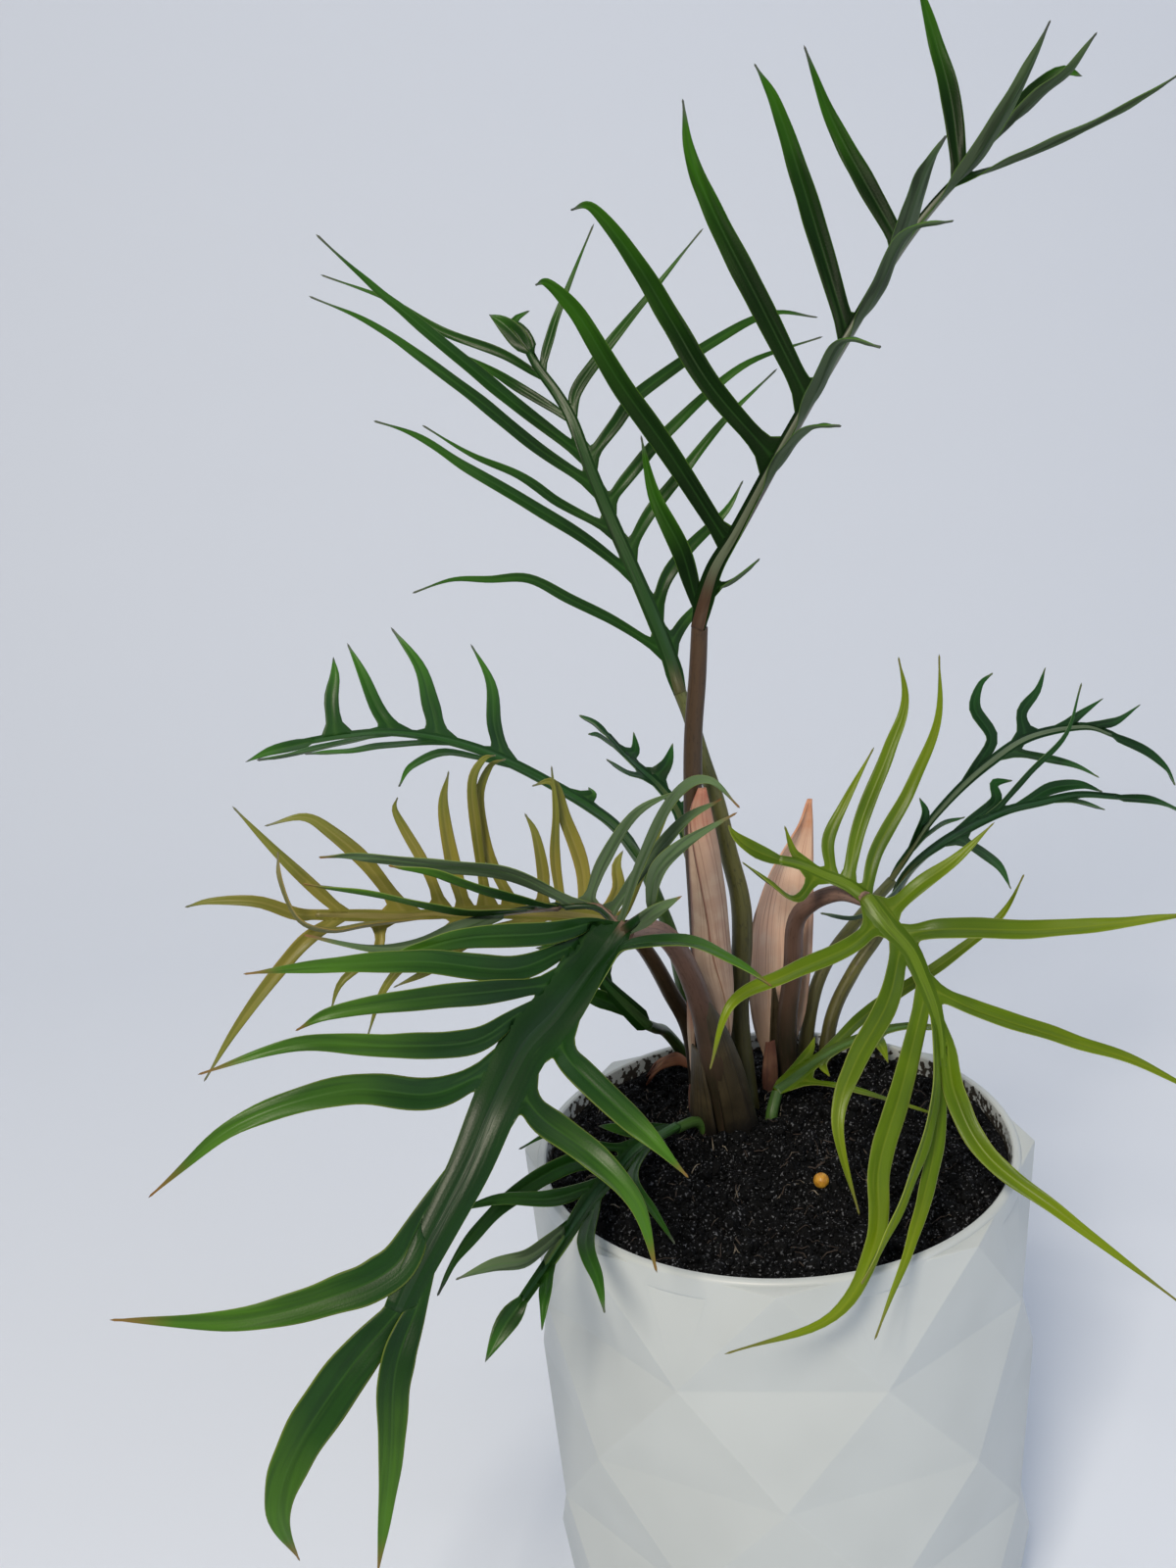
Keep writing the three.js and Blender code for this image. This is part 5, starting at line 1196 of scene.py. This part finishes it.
sheaths = [
    # its tail and flap are only in the scene: a thin lower end, and a fold that lies over the sheath from
    # a slanted line, whose top and bottom are shares of the width, to the right edge
    dict(name="pink_sheath", colour="paleSheath", skin="paleSheath", rows=[
        (204, (-12.6, 16.0), (-10.8, 16.2), -0.3), (197, (-15.2, 16.6), (-9.6, 17.0), -1.4),
        (186, (-15.8, 16.8), (-8.2, 19.0), -2.8), (172, (-15.9, 16.8), (-7.2, 20.4), -3.4),
        (160, (-16.0, 16.8), (-6.8, 20.4), -3.4), (151, (-13.0, 15.6), (-6.9, 18.0), -1.6),
    ], tail=[
        (144, (-10.8, 15.0), (-7.6, 16.6), -0.6), (138, (-9.6, 15.0), (-8.8, 15.4), -0.1),
    ], flap=(-0.1, 0.7)),
    dict(name="pink_sheath_tail", colour="paleSheath", skin="paleSheath", rows=[
        (149, (-18.0, 18.2), (-16.2, 16.4), -0.3), (140, (-18.3, 18.0), (-16.8, 16.5), -0.3),
        (131, (-18.1, 18.9), (-16.6, 17.4), -0.3), (127, (-17.7, 18.9), (-17.0, 18.1), -0.1),
    ]),
    dict(name="crown_scale", colour="drySheath", skin="drySheath", rows=[
        (124.5, (-18.5, 20.8), (-17.4, 18.8), -0.3), (119, (-18.7, 22.6), (-16.6, 18.4), -0.8),
        (110, (-18.6, 23.6), (-16.4, 19.4), -0.8),
    ]),
    dict(name="boat_sheath", colour="paleSheath", skin="boatSheath", rows=[
        (189.5, (16.2, 42.0), (17.2, 42.0), 0.2), (183, (13.5, 41.0), (17.3, 42.5), 1.2),
        (176, (8.8, 40.5), (17.3, 43.0), 3.0), (168, (4.2, 40.0), (17.1, 43.0), 4.5),
        (156, (0.2, 40.0), (16.6, 43.0), 5.5), (143, (-1.1, 40.0), (15.5, 42.6), 5.5),
        (130, (-0.4, 40.0), (13.5, 42.6), 4.8), (120, (2.0, 40.5), (9.8, 42.0), 2.4),
        (110, (3.6, 41.0), (8.4, 42.0), 1.0),
    ]),
    dict(name="inner_sheath", colour="oliveStalk", skin="claspSheath", rows=[
        (140.5, (5.2, 40.4), (5.8, 40.4), 0.1), (132, (4.4, 39.8), (6.8, 40.2), 0.6),
        (122, (3.6, 39.2), (6.0, 39.5), 0.6), (110, (2.6, 38.4), (4.6, 38.6), 0.4),
    ]),
    dict(name="dry_sheath", colour="drySheath", skin="drySheath", rows=[
        (128, (2.0, 33.2), (4.4, 34.0), -0.4), (120, (0.4, 30.6), (4.6, 31.8), -1.0),
        (110, (0.8, 31.0), (3.8, 31.6), -0.6),
    ]),
]

# The clasping base of the front left leaf's stalk: two flaps round the crown, only in the scene. They close
# the gaps between the stalks behind them, and their dark colour there is painted shade.
claspFlaps = [
    dict(name="claspRight", colour="oliveStalk", skin="claspSheath", rows=[
        (154, (-15.0, 6.4), (-13.6, 6.6), -0.2), (146, (-14.4, 7.0), (-9.8, 9.5), -0.9),
        (136, (-13.4, 8.0), (-6.6, 11.5), -1.3), (126, (-12.2, 9.0), (-4.4, 13.2), -1.6),
        (116, (-11.2, 10.4), (-2.6, 14.5), -1.8), (110, (-10.6, 11.0), (-2.4, 15.0), -1.8),
    ]),
    dict(name="claspLeft", colour="oliveStalk", skin="claspSheath", rows=[
        (139, (-17.6, 14.5), (-16.0, 10.0), -0.4), (130, (-18.2, 16.0), (-14.8, 9.4), -1.0),
        (120, (-18.8, 17.5), (-13.6, 10.0), -1.4), (110, (-18.8, 18.0), (-12.8, 10.6), -1.4),
    ]),
]

sheathSet = dict(
    halfThickness=0.3, steps=36, columns=16, crinkle=0.16, crinkleSize=(2.5, 2.5, 9),
    flapLift=0.55, flapHalfThickness=0.18, flapBlush=0.3,
)


# A thin curved sheet, closed round its edges. Its blush is how far it has the margin's colour.
def addSheet(shell, grid, halfThickness, offset, blush=0.0):
    grid = np.array(grid)
    rows, columns = grid.shape[:2]
    normals = np.cross(np.gradient(grid, axis=0), np.gradient(grid, axis=1))
    normals /= np.maximum(np.linalg.norm(normals, axis=2, keepdims=True), 1e-9)
    tall = np.linalg.norm(np.diff(grid[:, columns // 2], axis=0), axis=1).sum()
    wide = np.linalg.norm(grid[rows // 2, -1] - grid[rows // 2, 0])
    around = [(j, 1) for j in range(columns)] + [(j, -1) for j in range(columns - 2, 0, -1)]
    rings = []
    for i in range(rows):
        rise = 1 - i / (rows - 1)
        ring = []
        for j, face in around:
            rim = j in (0, columns - 1)
            place = grid[i, j] + normals[i, j] * halfThickness * (0 if rim else face)
            marks = (0.0, 1.0 if rim else blush, rise, 0.0)
            ring.append((place, marks, (wide * j / columns + offset, offset, tall * rise)))
        rings.append(ring)
    shell.loft(rings, [0] * len(rings[0]))


def sheathGrid(rows, index, flap=None):
    path = Path([(z, *a, *b, bulge) for z, a, b, bulge in rows])
    across, along, upwards = sheathSet["crinkleSize"]
    lift = sheathSet["flapLift"] if flap else 0.0
    grid = []
    for i in range(sheathSet["steps"]):
        rise = i / (sheathSet["steps"] - 1)
        z, ax, ay, bx, by, bulge = path.at(rise)
        a, b = np.array([ax, ay]), np.array([bx, by])
        out = unit(np.array([ay - by, bx - ax]))
        start = mix(*flap, rise) if flap else 0.0
        row = []
        for j in range(sheathSet["columns"]):
            u = mix(start, 1.0, j / (sheathSet["columns"] - 1))
            x, y = mix(a, b, u) + out * (4 * u * (1 - u) * bulge - lift)
            spot = Vector((x / across + 9 * index, y / along, z / upwards))
            push = sheathSet["crinkle"] * noise.noise(spot) * 2
            row.append((x + push * out[0], y + push * out[1], z + plantLevel))
        grid.append(row)
    return grid


def buildSheath(name, sheath, index, *nodes):
    shell = Shell()
    rows = sheath["rows"] + sheath.get("tail", [])
    addSheet(shell, sheathGrid(rows, index), sheathSet["halfThickness"], 13.0 * index)
    if "flap" in sheath:
        flap = sheathGrid(rows, index + 20, sheath["flap"])
        addSheet(shell, flap, sheathSet["flapHalfThickness"], 13.0 * index + 6, sheathSet["flapBlush"])
    makeMesh(name, shell, [paperLooks[sheath["skin"]]], sheath["colour"], *nodes)


# A curled scrap of bark, torn at one end

barkSet = dict(
    back=[(-29, 39, 116.8), (-25.5, 39.5, 121), (-21, 39.8, 122.8), (-17.5, 39, 121)],
    width=6.0, endWidthShare=0.55, curl=1.15, curlDepth=0.9, halfThickness=0.3, steps=30, columns=26,
    tear=0.5, tearSizes=(0.31, 0.9), roughness=0.3, roughSize=(3.0, 0.9, 3.0),
)


def buildBark():
    path = Path(lifted(barkSet["back"]))
    coarse, fine = barkSet["tearSizes"]
    sizeX, sizeY, sizeZ = barkSet["roughSize"]
    grid = []
    for i in range(barkSet["steps"]):
        t = i / (barkSet["steps"] - 1)
        half = 0.5 * barkSet["width"] * mix(barkSet["endWidthShare"], 1, math.sin(math.pi * t))
        half *= 1 + 0.12 * math.sin(9 * t + 1)
        row = []
        for j in range(barkSet["columns"]):
            angle = mix(-barkSet["curl"], barkSet["curl"], j / (barkSet["columns"] - 1))
            torn = noise.noise(Vector((coarse * j, 2.0, 5.0)))
            torn += 0.5 * noise.noise(Vector((fine * j, 7.0, 2.0)))
            x, y, z = path.at(t + barkSet["tear"] * abs(torn) * (1 - t) ** 3)
            y += half * math.sin(angle)
            z -= barkSet["curlDepth"] * half * (1 - math.cos(angle))
            rough = barkSet["roughness"] * noise.noise(Vector((x / sizeX, y / sizeY, z / sizeZ)))
            row.append((x, y + rough, z + rough))
        grid.append(row)
    shell = Shell()
    addSheet(shell, grid, barkSet["halfThickness"], 5.0)
    makeMesh("barkScrapSkin", shell, [paperLooks["bark"]], "drySheath", "bark_scrap")


# Pot: the part's facets with softened edges, a round lip, and the cavity as a smooth cone

potSet = dict(
    corners=8, rowRadius=[55, 60.3, 59.3, 60.8, 59.5, 60.8], rowStep=28, turn=-7,
    lipRadius=57.2, lipBottom=135, lipEase=1.0, height=141, mouthRadius=55, floorRadius=47.5, floor=4,
    facetBevel=0.35, facetArea=20, lipSegments=192, sharpFrom=28,
)


def insideRadius(z):
    share = (z - potSet["floor"]) / (potSet["height"] - potSet["floor"])
    return mix(potSet["floorRadius"], potSet["mouthRadius"], share)


def facetedBody():
    n, rows = potSet["corners"], len(potSet["rowRadius"])
    topTurn = (270 + potSet["turn"]) * n / 360
    points, faces = [], []
    for row, radius in enumerate(potSet["rowRadius"]):
        corners = circle(radius, n, topTurn + (rows - 1 - row) / 2)
        points += [(x, y, row * potSet["rowStep"]) for x, y in corners]
    for row in range(rows - 1):
        for i in range(n):
            a, b = row * n + i, row * n + (i + 1) % n
            faces += [(a, b, b + n), (a, b + n, a + n)]
    faces.append(tuple(range(n - 1, -1, -1)))
    faces.append(tuple((rows - 1) * n + i for i in range(n)))
    return addObject("potShell", newMesh("potShell", points, faces, smooth=False))


# A closed solid turned from (radius, height) pairs that start and end on the axis.
def turned(name, profile, segments):
    points, faces, starts = [], [], []
    for radius, z in profile:
        starts.append(len(points))
        points += [(x, y, z) for x, y in (circle(radius, segments) if radius else [(0, 0)])]
    for low, high, (lowRadius, _), (highRadius, _) in zip(starts, starts[1:], profile, profile[1:]):
        for j in range(segments):
            k = (j + 1) % segments
            if lowRadius == 0:
                faces.append((low, high + k, high + j))
            elif highRadius == 0:
                faces.append((low + j, low + k, high))
            else:
                faces.append((low + j, low + k, high + k, high + j))
    return addObject(name, newMesh(name, points, faces, smooth=False))


def arcPoints(x, z, radius, start, stop, count):
    angles = [math.radians(mix(start, stop, i / count)) for i in range(count + 1)]
    return [(x + radius * math.cos(a), z + radius * math.sin(a)) for a in angles]


def buildPot():
    body = facetedBody()
    applyModifier(body, "BEVEL", width=potSet["facetBevel"] * mm, segments=2, limit_method="ANGLE",
                  angle_limit=math.radians(3))
    rim, low, high, ease = (potSet[key] for key in ("lipRadius", "lipBottom", "height", "lipEase"))
    mouth, floor, wall = potSet["mouthRadius"], potSet["floor"], potSet["floorRadius"]
    edge = 0.5 * (rim - mouth)
    profile = [(0, low), (rim - ease, low), *arcPoints(rim - ease, low + ease, ease, -90, 0, 5)[1:]]
    profile += [*arcPoints(rim - edge, high - edge, edge, 0, 90, 8), (0, high)]
    lip = turned("potLip", profile, potSet["lipSegments"])
    above = high + 1
    # the mouth's edge is eased by a flared ring at the top of the cavity
    cavity = turned("potCavity", [
        (0, floor), (wall, floor), (mouth - 0.05, high - 0.8), (mouth + 0.12, high - 0.3),
        (mouth + 0.5, high), (insideRadius(above) + 0.6, above), (0, above),
    ], potSet["lipSegments"])
    for helper, operation in ((lip, "UNION"), (cavity, "DIFFERENCE")):
        applyModifier(body, "BOOLEAN", object=helper, operation=operation, solver="EXACT")
        bpy.data.objects.remove(helper)
    mesh = body.data
    mesh.materials.clear()
    mesh.materials.append(potMaterial())
    mesh.polygons.foreach_set("material_index", [0] * len(mesh.polygons))
    for face in mesh.polygons:
        isFacet = face.area > potSet["facetArea"] * mm * mm and abs(face.normal.z) < 0.5
        isInside = face.normal.x * face.center.x + face.normal.y * face.center.y < 0
        face.use_smooth = isInside or not isFacet
    mesh.set_sharp_from_angle(angle=math.radians(potSet["sharpFrom"]))
    settle(body, "pot", "pot")


# Soil: the part's own mound with a rough top

soilSet = dict(
    height=137, rimDip=0.4, rise=0.6, moundX=-2, moundY=26, moundSpread=22.4, unevenness=0.35,
    bottom=4.3, bottomRadius=47.0, wallGap=0.35, rings=80, segments=200,
    lumpHeight=2.4, lumpSize=5.5, deepest=-0.35, grainHeight=0.9, grainSize=1.6,
    fade=(50.0, 54.0), fadedShare=0.4,
)


def soilHeight(x, y):
    away = math.hypot(x - soilSet["moundX"], y - soilSet["moundY"]) / soilSet["moundSpread"]
    waves = math.sin(x * 0.21 + 0.7) * math.cos(y * 0.17 - 0.4) + 0.5 * math.sin(x * 0.37 - y * 0.29)
    low = soilSet["height"] - soilSet["rimDip"]
    return low + soilSet["rise"] * math.exp(-away ** 2) + soilSet["unevenness"] * waves


# The height with its lumps and grains, which fade out towards the pot's wall.
def roughSoil(x, y):
    lump, grain = soilSet["lumpSize"], soilSet["grainSize"]
    lumps = soilSet["lumpHeight"] * max(noise.noise(Vector((x / lump, y / lump, 3.0))), soilSet["deepest"])
    grains = soilSet["grainHeight"] * noise.noise(Vector((x / grain, y / grain, 8.0)))
    fade = 1 - smoothShare(math.hypot(x, y), *soilSet["fade"])
    return soilHeight(x, y) + (lumps + grains) * mix(soilSet["fadedShare"], 1.0, fade)


def buildSoilBody():
    outer = insideRadius(soilSet["height"] - 1) - soilSet["wallGap"]
    rings, segments = soilSet["rings"], soilSet["segments"]
    points = []
    for i in range(1, rings + 1):
        points += [(x, y, roughSoil(x, y)) for x, y in circle(outer * i / rings, segments)]
    points += [(x, y, soilSet["bottom"]) for x, y in circle(soilSet["bottomRadius"], segments)]
    top, bottom = len(points), len(points) + 1
    points += [(0, 0, roughSoil(0, 0)), (0, 0, soilSet["bottom"])]
    faces = []
    for j in range(segments):
        k = (j + 1) % segments
        faces.append((top, j, k))
        for low in range(0, rings * segments, segments):
            high = low + segments
            faces.append((low + j, high + j, high + k, low + k))
        last = rings * segments
        faces.append((bottom, last + k, last + j))
    settle(addObject("soilBed", newMesh("soilBed", points, faces, looks=[soilLook])), "soil", "soil")


# Crumbs and lumps: squashed balls scattered over the soil, each with its own size and turn

crumbSets = dict(
    soilCrumbs=dict(count=9000, size=(0.6, 2.6), rarity=3.4, rise=0.12, roundness=1, seed=21),
    soilLumps=dict(count=420, size=(2.4, 6.4), rarity=2.2, rise=0.02, roundness=2, seed=35),
)
crumbForm = dict(
    least=(0.7, 0.6, 0.45), most=(1.25, 1.0, 0.8),  # shares of its size along x, y and z
    roughScale=1400, roughPush=0.9, wallGap=1.6, sink=0.05,
)


def crumbTree():
    tree, given = newTree(
        "soilCrumbs", Smallest="Float", Largest="Float", Roundness="Int", Seed="Int", Peat="Material",
    )
    lump = addNode(tree, "GeometryNodeMeshIcoSphere", {"Radius": 0.5, "Subdivisions": given["Roundness"]})
    turn, squash = [
        addNode(tree, "FunctionNodeRandomValue", {
            "Min": least, "Max": most, "Seed": given["Seed"],
        }, data_type="FLOAT_VECTOR").outputs[0]
        for least, most in (((0, 0, 0), (6.28, 6.28, 6.28)), (crumbForm["least"], crumbForm["most"]))
    ]
    size = addNode(tree, "GeometryNodeInputNamedAttribute", {"Name": "size"}, data_type="FLOAT")
    sizes = addNode(tree, "ShaderNodeMapRange", {
        "Value": size.outputs["Attribute"], "To Min": given["Smallest"], "To Max": given["Largest"],
    })
    scale = addNode(tree, "ShaderNodeVectorMath", {
        0: squash, "Scale": sizes.outputs["Result"],
    }, operation="SCALE")
    placed = addNode(tree, "GeometryNodeInstanceOnPoints", {
        "Points": given["Geometry"], "Instance": lump.outputs["Mesh"],
        "Rotation": turn, "Scale": scale.outputs[0],
    })
    real = addNode(tree, "GeometryNodeRealizeInstances", {"Geometry": placed.outputs["Instances"]})
    spot = addNode(tree, "GeometryNodeInputPosition")
    rough = addNode(tree, "ShaderNodeTexNoise", {
        "Vector": spot.outputs[0], "Scale": crumbForm["roughScale"], "Detail": 1.0,
    })
    centred = addNode(tree, "ShaderNodeVectorMath", {
        0: rough.outputs["Color"], 1: (0.5, 0.5, 0.5),
    }, operation="SUBTRACT")
    push = addNode(tree, "ShaderNodeVectorMath", {
        0: centred.outputs[0], "Scale": crumbForm["roughPush"] * mm,
    }, operation="SCALE")
    moved = addNode(tree, "GeometryNodeSetPosition", {
        "Geometry": real.outputs["Geometry"], "Offset": push.outputs[0],
    })
    finishTree(tree, moved.outputs["Geometry"], given["Peat"])
    return tree


def buildCrumbs(name, crumbs, tree):
    rng = np.random.default_rng(crumbs["seed"])
    smallest, largest = crumbs["size"]
    reach = insideRadius(soilSet["height"]) - crumbForm["wallGap"] - 0.2 * largest
    points, sizes = [], []
    while len(points) < crumbs["count"]:
        x, y = rng.uniform(-reach, reach, 2)
        if math.hypot(x, y) > reach:
            continue
        size = float(rng.random() ** crumbs["rarity"])
        rise = mix(smallest, largest, size) * crumbs["rise"]
        points.append((x, y, roughSoil(x, y) - crumbForm["sink"] + rise))
        sizes.append(size)
    seats = newMesh(name, points)
    store(seats, "size", "FLOAT", sizes)
    piece = addObject(name, seats)
    bake(piece, tree, dict(
        Smallest=smallest * mm, Largest=largest * mm, Roundness=crumbs["roundness"],
        Seed=crumbs["seed"], Peat=soilLook,
    ))
    settle(piece, "soil")


# Fibres: thin bent threads and a few flat shreds, each a short closed tube

fibreSet = dict(
    shreds=[((6, -7.6), 7.0, 0.55, 20), ((14.3, 11.7), 8.0, 0.5, -50), ((-24, -14), 6.0, 0.4, 70)],
    count=260, lengths=(2.5, 9.0), radii=(0.09, 0.22), bends=(-1.2, 1.2), wobble=(-0.12, 0.12),
    rings=9, corners=5, flatness=0.6, lift=0.35, arch=0.45, within=50, clearOfWall=52.5, seed=22,
)


def buildFibres():
    rng = np.random.default_rng(fibreSet["seed"])
    shell = Shell()
    within, count, corners = fibreSet["within"], fibreSet["rings"], fibreSet["corners"]
    up = np.array([0, 0, 1.0])
    items = list(fibreSet["shreds"])
    while len(items) < fibreSet["count"]:
        x, y = rng.uniform(-within, within, 2)
        if math.hypot(x, y) < within:
            ranges = (fibreSet["lengths"], fibreSet["radii"], (0, 360))
            items.append(((x, y), *[float(rng.uniform(*span)) for span in ranges]))
    for (x, y), length, radius, turn in items:
        heading = math.radians(turn)
        bend = rng.uniform(*fibreSet["bends"])
        rings = []
        for i in range(count):
            t = i / (count - 1)
            x += math.cos(heading) * length / count
            y += math.sin(heading) * length / count
            heading += bend / count + rng.uniform(*fibreSet["wobble"])
            lift = fibreSet["lift"] + fibreSet["arch"] * math.sin(math.pi * t) * abs(bend)
            middle = np.array([x, y, roughSoil(x, y) + lift])
            side = np.array([-math.sin(heading), math.cos(heading), 0])
            thin = radius * (0.5 + 0.5 * math.sin(math.pi * min(max(t, 0.05), 0.95)))
            rings.append([
                (middle + side * u + up * v * fibreSet["flatness"], (0, 0, t, 0), (0, 0, t * length))
                for u, v in circle(thin, corners)
            ])
        if math.hypot(x, y) < fibreSet["clearOfWall"]:
            shell.loft(rings, [0] * corners)
    makeMesh("soilFibres", shell, [fibreMaterial()], "soil")


prillSet = dict(radius=1.85, x=8.6, y=-15.2, bumps=0.12, bumpSize=1.3, clearance=0.1)


def buildPrill():
    x, y, radius = prillSet["x"], prillSet["y"], prillSet["radius"]
    ground = max(soilHeight(x + dx, y + dy) for dx, dy in circle(radius, 8))
    middle = Vector((x, y, ground + radius + prillSet["clearance"]))
    form = bmesh.new()
    bmesh.ops.create_icosphere(form, subdivisions=4, radius=radius)
    for vertex in form.verts:
        vertex.co *= 1 - prillSet["bumps"] * abs(noise.noise(vertex.co * prillSet["bumpSize"]))
        vertex.co = (vertex.co + middle) * mm
    mesh = bpy.data.meshes.new("prillBall")
    form.to_mesh(mesh)
    form.free()
    mesh.polygons.foreach_set("use_smooth", [True] * len(mesh.polygons))
    mesh.materials.append(prillMaterial())
    settle(addObject("prillBall", mesh), "prill", "fertiliser_prill")


# Floor, backdrop, lights and camera. The sweep is a floor that curves up into a wall.

sweepSet = dict(pale="#e0e7f1", front=-2500, bend=450, curve=500, top=2600, halfWidth=3000)
roomSet = dict(tone="#e0e6f2", strength=0.32)
lampSet = dict(  # place in metres, size in metres, power in watts, tone
    window=((-0.42, -1.15, 1.3), 0.35, 20, "#fff2e0"),
    fill=((1.1, -0.9, 0.7), 1.2, 4, "#e2eaff"),
    top=((0.1, 0.5, 1.5), 1.0, 3, "#ffffff"),
)
lampAim = (0, 0, 0.2)
cameraSet = dict(place=(-38, -370, 362), pitchDown=19, turned=-4.5, lens=40.5, sensor=36)


def makeStage():
    bend, curve, wide = sweepSet["bend"], sweepSet["curve"], sweepSet["halfWidth"]
    profile = [(sweepSet["front"], 0), *arcPoints(bend, curve, curve, -90, 0, 9)]
    profile.append((bend + curve, sweepSet["top"]))
    points = [(x, y, z) for x in (-wide, wide) for y, z in profile]
    count = len(profile)
    faces = [(i, i + count, i + count + 1, i + 1) for i in range(count - 1)]
    paper = newSurface("pale_paper", Base_Color=linear(sweepSet["pale"]), Roughness=0.9)[0]
    addObject("sweep", newMesh("sweep", points, faces, looks=[paper]))

    scene = bpy.context.scene
    scene.view_settings.view_transform = "Standard"
    scene.world = bpy.data.worlds.new("room")
    scene.world.use_nodes = True
    background = scene.world.node_tree.nodes["Background"]
    background.inputs["Color"].default_value = linear(roomSet["tone"])
    background.inputs["Strength"].default_value = roomSet["strength"]
    for name, (place, size, power, tone) in lampSet.items():
        light = bpy.data.lights.new(name, "AREA")
        light.energy, light.size, light.color = power, size, linear(tone)[:3]
        turn = (Vector(lampAim) - Vector(place)).to_track_quat("-Z", "Y").to_matrix().to_4x4()
        addObject(name, light).matrix_world = Matrix.Translation(place) @ turn


def makeCamera():
    data = bpy.data.cameras.new("camera")
    data.lens, data.sensor_width, data.clip_start = cameraSet["lens"], cameraSet["sensor"], 0.01
    camera = addObject("camera", data)
    pitch = Matrix.Rotation(math.radians(90 - cameraSet["pitchDown"]), 4, "X")
    roll = Matrix.Rotation(math.radians(cameraSet["turned"]), 4, "Z")
    camera.matrix_world = Matrix.Translation(Vector(cameraSet["place"]) * mm) @ pitch @ roll
    bpy.context.scene.camera = camera


# Building it all

leafLooks = {(skin, side): leafMaterial(skin, side) for skin in leafSkins for side in ("upper", "under")}
stalkLooks = {skin: stalkMaterial(skin) for skin in stalkSkins}
paperLooks = {skin: paperMaterial(skin) for skin in paperSkins}
soilLook = soilMaterial()
print("materials made")

tubeTree = stalkTree()
for index, leaf in enumerate(leaves):
    buildPetiole(leaf, index, tubeTree)
    buildBlade(leaf, index)
print("leaves built")

for index, sheath in enumerate(sheaths):
    buildSheath(sheath["name"] + "Skin", sheath, index, sheath["name"])
for index, flap in enumerate(claspFlaps):
    buildSheath(flap["name"], flap, 40 + index)
buildBark()
print("sheaths built")

buildPot()
buildSoilBody()
scatterTree = crumbTree()
for name, crumbs in crumbSets.items():
    buildCrumbs(name, crumbs, scatterTree)
buildFibres()
buildPrill()
print("pot and soil built")

makeStage()
makeCamera()
